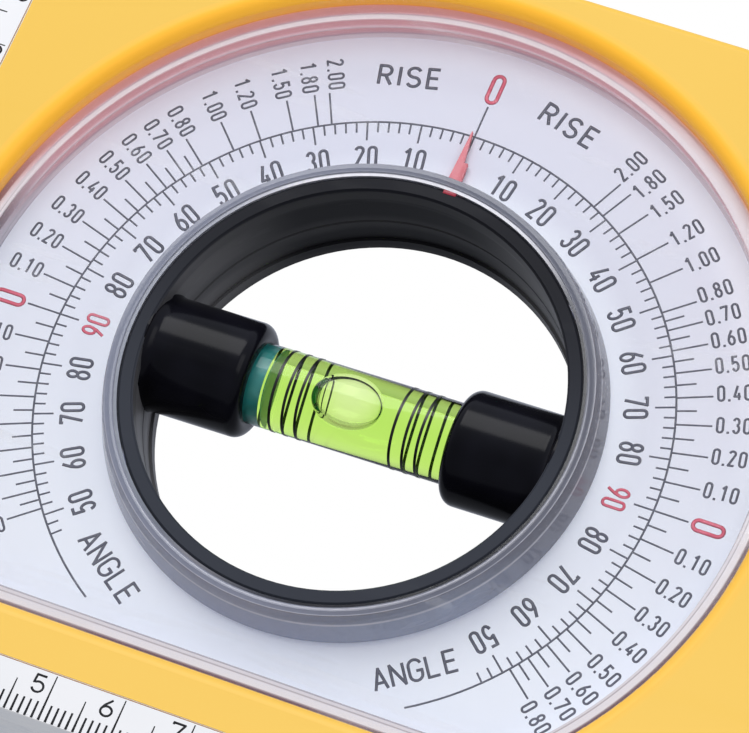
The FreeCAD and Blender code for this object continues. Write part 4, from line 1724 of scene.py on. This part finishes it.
@dataclass(frozen=True)
class Rulers:
    """The two printed rulers, in millimetres."""

    base_zero: float = -69.5
    side_zero: float = 0.15
    tick_start: float = -0.2
    whole: float = 6.45
    half: float = 4.5
    single: float = 2.43
    tip_width: float = 0.17
    foot_width: float = 0.36
    end_margin: float = 0.6
    border_width: float = 0.12
    digit_back: float = 1.95
    digit_height: float = 4.5
    upright_drop: float = 1.5
    upright_inset: float = 1.6
    digit_font: StrokeFont = StrokeFont(2.7, 1.6, 0.33, 0.35)
    fold_depth: float = 0.5
    fold_margin: float = 0.04
    fold_rounding: float = 0.04
    base_two_digits: float = 0.5
    side_two_digits: float = 0.95
    short_taper: float = 0.8
    number_step: int = 10
    half_step: int = 5
    two_digits_from: int = 100
    side_first: int = 20

    def marks(self, run: PrintRun, zero: float, steps: range, lay: Any) -> None:
        """Print the ticks of one ruler.

        Args:
            run: The ink's strokes.
            zero: Place of the zero along the edge.
            steps: Whole millimetres that the ruler shows.
            lay: Turns a place along the edge and a height above it into a point.
        """
        for step in steps:
            length = self.single if step % self.half_step else self.half
            if step % self.number_step == 0:
                length = self.whole
            place = zero + step
            ends = [lay(place, self.tick_start), lay(place, self.tick_start + length)]
            tip = self.foot_width * self.short_taper if length == self.single else self.tip_width
            run.stroke(ends, self.foot_width, tip)

    def steps(self, zero: float, start: float, end: float) -> range:
        """Give the whole millimetres that a ruler shows.

        Args:
            zero: Place of the zero along the edge.
            start: Where the label starts.
            end: Where the label ends.

        Returns:
            The millimetres.
        """
        first = max(0, math.ceil(start + self.end_margin - zero))
        return range(first, int(end - self.end_margin - zero) + 1)

    def fold(self, name: str, low: Vector, high: Vector, paper: bpy.types.Material) -> None:
        """Make the label's edge that fills the bevel of its channel.

        Args:
            name: The piece's name.
            low: Lowest corner in millimetres.
            high: Highest corner in millimetres.
            paper: The labels' own finish.
        """
        piece = mesh_object(name, bar(high - low, (low + high) / 2, self.fold_rounding, 1))
        fit_piece(piece, paper, Body.CASE, Slot.LABEL)

    def build(self, inks: dict[Ink, bpy.types.Material], paper: bpy.types.Material) -> None:
        """Make the printed pieces of both rulers.

        Args:
            inks: The ink materials.
            paper: The labels' own finish.
        """
        # The brown line along each label's inner edge is painted shade of the gap between label and case.
        border = PrintRun()
        inset = self.border_width / 2
        for name, upright in (("base", False), ("side", True)):
            low, high = (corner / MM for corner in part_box(f"{name}_ruler_label"))
            run = PrintRun()
            if upright:
                fold_low = Vector((CAD_BOX[0].x / MM + self.fold_margin, low.y, low.z))
                fold_high = Vector((low.x, low.y + self.fold_depth, high.z))
                self.print_side(run, low, high)
                border.stroke([(high.x - inset, low.z), (high.x - inset, high.z)], self.border_width)
            else:
                fold_low = Vector((low.x, low.y, self.fold_margin))
                fold_high = Vector((high.x, low.y + self.fold_depth, low.z))
                self.print_base(run, low, high)
                border.stroke([(low.x, high.z - inset), (high.x, high.z - inset)], self.border_width)
            self.fold(f"{name}_label_fold", fold_low, fold_high, paper)
            fit_piece(run.build(f"{name}_ruler_print", low.y), inks[Ink.BLACK], Body.CASE, Slot.INK)
        fit_piece(border.build("ruler_gap_shade_print", low.y), inks[Ink.BORDER], Body.CASE, Slot.INK)

    def print_base(self, run: PrintRun, low: Vector, high: Vector) -> None:
        """Print the base ruler.

        Args:
            run: The ink's strokes.
            low: Lowest corner of its label.
            high: Highest corner of its label.
        """
        steps = self.steps(self.base_zero, low.x, high.x)
        self.marks(run, self.base_zero, steps, lambda along, out: (along, low.z + out))
        for step in range(self.number_step, steps.stop, self.number_step):
            wide = self.base_two_digits * (step >= self.two_digits_from)
            spot = (self.base_zero + step - self.digit_back - wide, low.z + self.digit_height)
            run.write(str(step // self.number_step), self.digit_font, spot, 0.0)

    def print_side(self, run: PrintRun, low: Vector, high: Vector) -> None:
        """Print the side ruler, with upright digits under their marks.

        Args:
            run: The ink's strokes.
            low: Lowest corner of its label.
            high: Highest corner of its label.
        """
        steps = self.steps(self.side_zero, low.z, high.z)
        self.marks(run, self.side_zero, steps, lambda along, out: (low.x + out, along))
        for step in range(self.side_first, steps.stop, self.number_step):
            wide = self.side_two_digits * (step >= self.two_digits_from)
            spot = (high.x - self.upright_inset - wide, self.side_zero + step - self.upright_drop)
            run.write(str(step // self.number_step), self.digit_font, spot, 0.0)


@dataclass(frozen=True)
class ClearCover:
    """The clear moulding: flat sheet, rim and collar, in millimetres."""

    axis_height: float
    outer_radius: float = 59.2
    chord_height: float = 14.1
    front: float = -8.55
    sheet: float = 2.0
    dial_face: float = -1.05
    rim_wall: float = 2.2
    rim_shift: float = 0.2
    tip_clearance: float = 0.2
    chord_extra: float = 0.75
    collar_inner: float = 32.1
    collar_outer: float = 33.4
    collar_waist: float = 33.95
    collar_foot: float = 34.68
    collar_back: float = -2.36
    ridge_place: float = 32.68
    ridge_width: float = 0.14
    ridge_height: float = 0.03
    sheet_overlap: float = 0.05
    joint_gap: float = 0.02
    lip_inner: float = 31.63
    lip_depth: float = 0.32
    lip_thickness: float = 0.1
    corner: float = 0.08
    segments: int = 256

    def outline(self, inset: float) -> bmesh.types.BMesh:
        """Make the flat D of the window.

        Args:
            inset: How far inside the cover's outline it lies. An inner outline lies a little to the
                upper left and leaves more at the straight edge.

        Returns:
            A bmesh with one face in the plane of the sheet's front.
        """
        shift = self.rim_shift if inset else 0.0
        extra = self.chord_extra if inset else 0.0
        across, up = turned(-45.0, shift)
        shape = bmesh.new()
        bmesh.ops.create_circle(shape, cap_ends=True, radius=self.outer_radius - inset - shift,
                                segments=self.segments)
        bmesh.ops.rotate(shape, verts=shape.verts, matrix=STAND)
        bmesh.ops.translate(shape, verts=shape.verts, vec=(across, self.front, self.axis_height + up))
        parts = shape.verts[:] + shape.edges[:] + shape.faces[:]
        bmesh.ops.bisect_plane(shape, geom=parts, plane_co=(0.0, 0.0, self.chord_height + inset + extra),
                               plane_no=(0.0, 0.0, -1.0), clear_outer=True)
        return shape

    def plate(self, depth: float, thickness: float, hole: float | None = None) -> bmesh.types.BMesh:
        """Make a slab with the window's outline and a hole.

        Args:
            depth: How far behind the sheet's front it starts.
            thickness: Its thickness.
            hole: Radius of a round hole, or None for a rim as wide as the wall.

        Returns:
            The slab.
        """
        shape = self.outline(0.0)
        bmesh.ops.delete(shape, geom=shape.faces[:], context="FACES_ONLY")
        if hole is None:
            inner = self.outline(self.rim_wall)
            bmesh.ops.delete(inner, geom=inner.faces[:], context="FACES_ONLY")
            scratch = bpy.data.meshes.new("inner_outline")
            inner.to_mesh(scratch)
            inner.free()
            shape.from_mesh(scratch)
            bpy.data.meshes.remove(scratch)
        else:
            ring = bmesh.ops.create_circle(shape, radius=hole, segments=self.segments)["verts"]
            bmesh.ops.rotate(shape, verts=ring, matrix=STAND)
            bmesh.ops.translate(shape, verts=ring, vec=(0.0, self.front, self.axis_height))
        bmesh.ops.triangle_fill(shape, use_beauty=True, use_dissolve=False, edges=shape.edges[:],
                                normal=(0.0, -1.0, 0.0))
        bmesh.ops.translate(shape, verts=shape.verts, vec=(0.0, depth, 0.0))
        grown = bmesh.ops.extrude_face_region(shape, geom=shape.faces[:])["geom"]
        moved = [part for part in grown if isinstance(part, bmesh.types.BMVert)]
        bmesh.ops.translate(shape, verts=moved, vec=(0.0, thickness, 0.0))
        if hole is None:
            edge = self.chord_height + self.rim_wall + self.chord_extra
            drop = self.chord_height + self.tip_clearance - edge
            lowered = [vert for vert in moved if abs(vert.co.z - edge) < self.tip_clearance]
            bmesh.ops.translate(shape, verts=lowered, vec=(0.0, 0.0, drop))
        bmesh.ops.scale(shape, verts=shape.verts, vec=(MM, MM, MM))
        return shape

    def collar(self) -> bmesh.types.BMesh:
        """Make the flared collar with the fine ridge that catches the light.

        Returns:
            The collar.
        """
        inner = self.collar_inner
        outer = self.collar_outer
        ridge = self.ridge_place
        half = self.ridge_width / 2
        top = self.front + self.ridge_height
        lip = self.front + self.lip_depth
        under = lip + self.lip_thickness
        profile = [(inner, self.collar_back), (inner, under), (self.lip_inner, under), (self.lip_inner, lip),
                   (inner, lip), (inner, top + self.corner), (inner + self.corner, top), (ridge - half, top),
                   (ridge, self.front), (ridge + half, top), (outer - self.corner, top),
                   (outer, top + self.corner), (self.collar_waist, self.front + self.sheet),
                   (self.collar_foot, self.collar_back)]
        shape = bmesh.new()
        corners = [shape.verts.new((radius * MM, y * MM, self.axis_height * MM)) for radius, y in profile]
        for first, second in zip(corners, corners[1:] + corners[:1]):
            shape.edges.new((first, second))
        bmesh.ops.spin(shape, geom=shape.verts[:] + shape.edges[:], cent=(0.0, 0.0, self.axis_height * MM),
                       axis=(0.0, 1.0, 0.0), angle=math.tau, steps=self.segments, use_merge=True)
        bmesh.ops.remove_doubles(shape, verts=shape.verts, dist=SAME_PLACE)
        return shape

    def build(self, effects: Effects) -> None:
        """Make the sheet, the rim and the collar.

        Args:
            effects: The shared effects.
        """
        under = self.sheet + self.joint_gap
        depth = self.dial_face - self.front - under - self.joint_gap
        hole = self.collar_outer - self.sheet_overlap
        pieces = (("cover_sheet", self.plate(0.0, self.sheet, hole), ClearAcrylic()),
                  ("cover_rim", self.plate(under, depth), RimAcrylic(outer=self.outer_radius)),
                  ("cover_collar", self.collar(), CollarAcrylic()))
        for name, shape, look in pieces:
            piece = mesh_object(name, shape)
            fit_piece(piece, look.make(effects), Body.CASE, Slot.COVER, ["clear_cover"])
            piece.visible_shadow = False


@dataclass(frozen=True)
class VialAssembly:
    """The spirit vial on the turning ring, in millimetres and degrees."""

    axis_height: float
    reading: float = 1.0
    radius: float = 5.75
    half_length: float = 22.0
    spirit_start: float = -12.45
    joint_gap: float = 0.03
    end_round: float = 0.4
    end_reach: float = 0.1
    smooth_angle: float = 40.0
    bubble_place: Place = (-1.6, -0.5, 0.75)
    bubble_size: Place = (5.1, 2.4, 3.0)
    ball_segments: int = 64
    sides: int = 96
    lime: TintedVial = TintedVial()
    clear: TintedVial = TintedVial("vial_end_clear", taken_colour=(0.8, 0.95, 0.75, 1.0), taken_share=40.0)
    plug: PolishedPlastic = PolishedPlastic("plug_teal_gloss", "2F9C96", "2C9499", 0.3)
    marker: PolishedPlastic = PolishedPlastic("marker_paint", "0B0D0B", "121512", 0.35)
    cup: PolishedPlastic = PolishedPlastic("holder_black_gloss", "0B0B11", "12121A", 0.17, gloss=0.13)

    def body(self, start: float, end: float, bubble: bool) -> bmesh.types.BMesh:
        """Make a length of the vial, with or without the bubble's hollow inside.

        Args:
            start: Where it starts along the vial.
            end: Where it ends.
            bubble: Whether the bubble lies in it.

        Returns:
            A closed shape.
        """
        shape = bmesh.new()
        bmesh.ops.create_cone(shape, cap_ends=True, segments=self.sides, radius1=self.radius,
                              radius2=self.radius, depth=end - start)
        bmesh.ops.translate(shape, verts=shape.verts, vec=(0.0, 0.0, (start + end) / 2))
        rims = [edge for edge in shape.edges if abs(edge.verts[0].co.z - edge.verts[1].co.z) < SAME_HEIGHT
                and abs(edge.verts[0].co.z) > self.half_length - self.end_reach]
        bmesh.ops.bevel(shape, geom=rims, offset=self.end_round, segments=2, profile=0.5, affect="EDGES",
                        material=-1)
        bmesh.ops.rotate(shape, verts=shape.verts, matrix=ALONG_X)
        bmesh.ops.recalc_face_normals(shape, faces=shape.faces)
        if bubble:
            self.hollow(shape)
        low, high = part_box("vial_tube")
        bmesh.ops.translate(shape, verts=shape.verts, vec=(0.0, (low.y + high.y) / 2 / MM, 0.0))
        tilt = Matrix.Rotation(math.radians(-self.reading), 3, "Y")
        bmesh.ops.rotate(shape, verts=shape.verts, matrix=tilt)
        bmesh.ops.translate(shape, verts=shape.verts, vec=(0.0, 0.0, self.axis_height))
        bmesh.ops.scale(shape, verts=shape.verts, vec=(MM, MM, MM))
        return shape

    def hollow(self, shape: bmesh.types.BMesh) -> None:
        """Add the bubble's wall inside the spirit.

        Args:
            shape: The vial's length, along the X axis.
        """
        known = set(shape.faces)
        ball = bmesh.ops.create_uvsphere(shape, u_segments=self.ball_segments,
                                         v_segments=self.ball_segments // 2, radius=1.0)["verts"]
        bmesh.ops.rotate(shape, verts=ball, matrix=ALONG_X)
        bmesh.ops.scale(shape, verts=ball, vec=self.bubble_size)
        bmesh.ops.translate(shape, verts=ball, vec=self.bubble_place)
        wall = [face for face in shape.faces if face not in known]
        bmesh.ops.recalc_face_normals(shape, faces=wall)
        bmesh.ops.reverse_faces(shape, faces=wall)

    def build(self, effects: Effects) -> None:
        """Make the vial and dress its plugs, rings and cups.

        Args:
            effects: The shared effects.
        """
        start = self.spirit_start
        filled = raw_object("vial_body", self.body(start, self.half_length, True), self.smooth_angle)
        fit_piece(filled, self.lime.make(effects), Body.ROTOR, Slot.VIAL, ["vial_tube", "vial_fluid"])
        tail = self.body(-self.half_length, start - self.joint_gap, False)
        tail_piece = raw_object("vial_end", tail, self.smooth_angle)
        fit_piece(tail_piece, self.clear.make(effects), Body.ROTOR, Slot.VIAL, ["vial_tube"])
        dress(self.plug.make(effects), "vial_plugs")
        dress(self.marker.make(effects), "vial_marker_rings")
        dress(self.cup.make(effects), "left_vial_holder", "right_vial_holder")


@dataclass(frozen=True)
class CaseBody:
    """Finishes of the case, its edges and its inner parts."""

    label: Moulding = Moulding("label_white", "F4F5FA", "F1F3F8", grain=0.1, depth=0.001)
    seal: Moulding = Moulding("seal_rubber", "3A3A3E", "454549", 0.8, grain=0.3, depth=0.01)
    bearing: Moulding = Moulding("bearing_resin", "E4E4E2", "DADAD6", 0.45, grain=0.3, depth=0.004)
    steel: Metal = Metal("screw_zinc", "B9BBC0", "A6A8AE", 0.35)
    magnet: Metal = Metal("magnet_nickel", "C4C4C8", "B2B2B8", 0.3, 0.2)

    def build(self, effects: Effects) -> None:
        """Dress the case's nodes.

        Args:
            effects: The shared effects.
        """
        dress(CasePlastic().make(effects), "front_shell", "rear_shell")
        dress(Anodised().make(effects), "base_channel", "side_channel")
        dress(self.label.make(effects), "base_ruler_label", "side_ruler_label")
        dress(self.seal.make(effects), "cover_seal", "brake_ring")
        dress(self.bearing.make(effects), "glide_ring", "rear_bearing")
        dress(self.steel.make(effects), "case_screws", "channel_screws")
        dress(self.magnet.make(effects), "base_magnets", "side_magnets")
        dress(PlatePaint().make(effects), "dial_plate")


@dataclass(frozen=True)
class TurningRing:
    """Finishes of the turning ring and its needle, in millimetres."""

    axis_height: float
    root_span: tuple[float, float] = (31.0, 31.6)
    root_width: float = 1.9
    root_shift: float = 1.8
    root_front: float = -8.22
    root_back: float = -2.0
    root_rounding: float = 0.08
    # The dark red of the needle's image refracted in the collar: a painted reflection.
    root_finish: PolishedPlastic = PolishedPlastic("needle_root_red", "A81E38", "8E142C", 0.2)

    def build(self, effects: Effects) -> None:
        """Dress the ring and the needle.

        Args:
            effects: The shared effects.
        """
        dress(RingPlastic().make(effects), "rotor_front_ring", "rotor_rear_ring")
        dress(PointerPlastic().make(effects), "pointer")
        self.build_root(effects)

    def build_root(self, effects: Effects) -> None:
        """Make a small dark red piece in the gap round the ring, a painted reflection that stands for the
        needle's image refracted in the collar.

        Args:
            effects: The shared effects.
        """
        low, high = self.root_span
        size = (self.root_width, self.root_back - self.root_front, high - low)
        height = self.axis_height + (low + high) / 2
        middle = (self.root_shift, (self.root_front + self.root_back) / 2, height)
        # A painted reflection of the needle, made as a small red piece on the ring.
        piece = mesh_object("needle_root", bar(size, middle, self.root_rounding, 2))
        fit_piece(piece, self.root_finish.make(effects), Body.ROTOR, Slot.RED)


def main() -> None:
    """Build the looks piece by piece."""
    logging.basicConfig(level=logging.INFO, format="%(name)s: %(message)s")
    axis_height = frame["record"]["behaviour"]["joints"][0]["pos_m"][2]
    PhotoCamera().place()
    Studio().build()
    effects = Effects(axis_height)
    inks = {ink: PrintInk(f"ink_{ink.value}", *tones).make(effects) for ink, tones in INK_TONES.items()}
    CaseBody().build(effects)
    DialPrint().build(inks)
    Rulers().build(inks, bpy.data.materials[CaseBody.label.name])
    ClearCover(axis_height / MM).build(effects)
    TurningRing(axis_height / MM).build(effects)
    VialAssembly(axis_height / MM).build(effects)


if __name__ == "__main__":
    main()
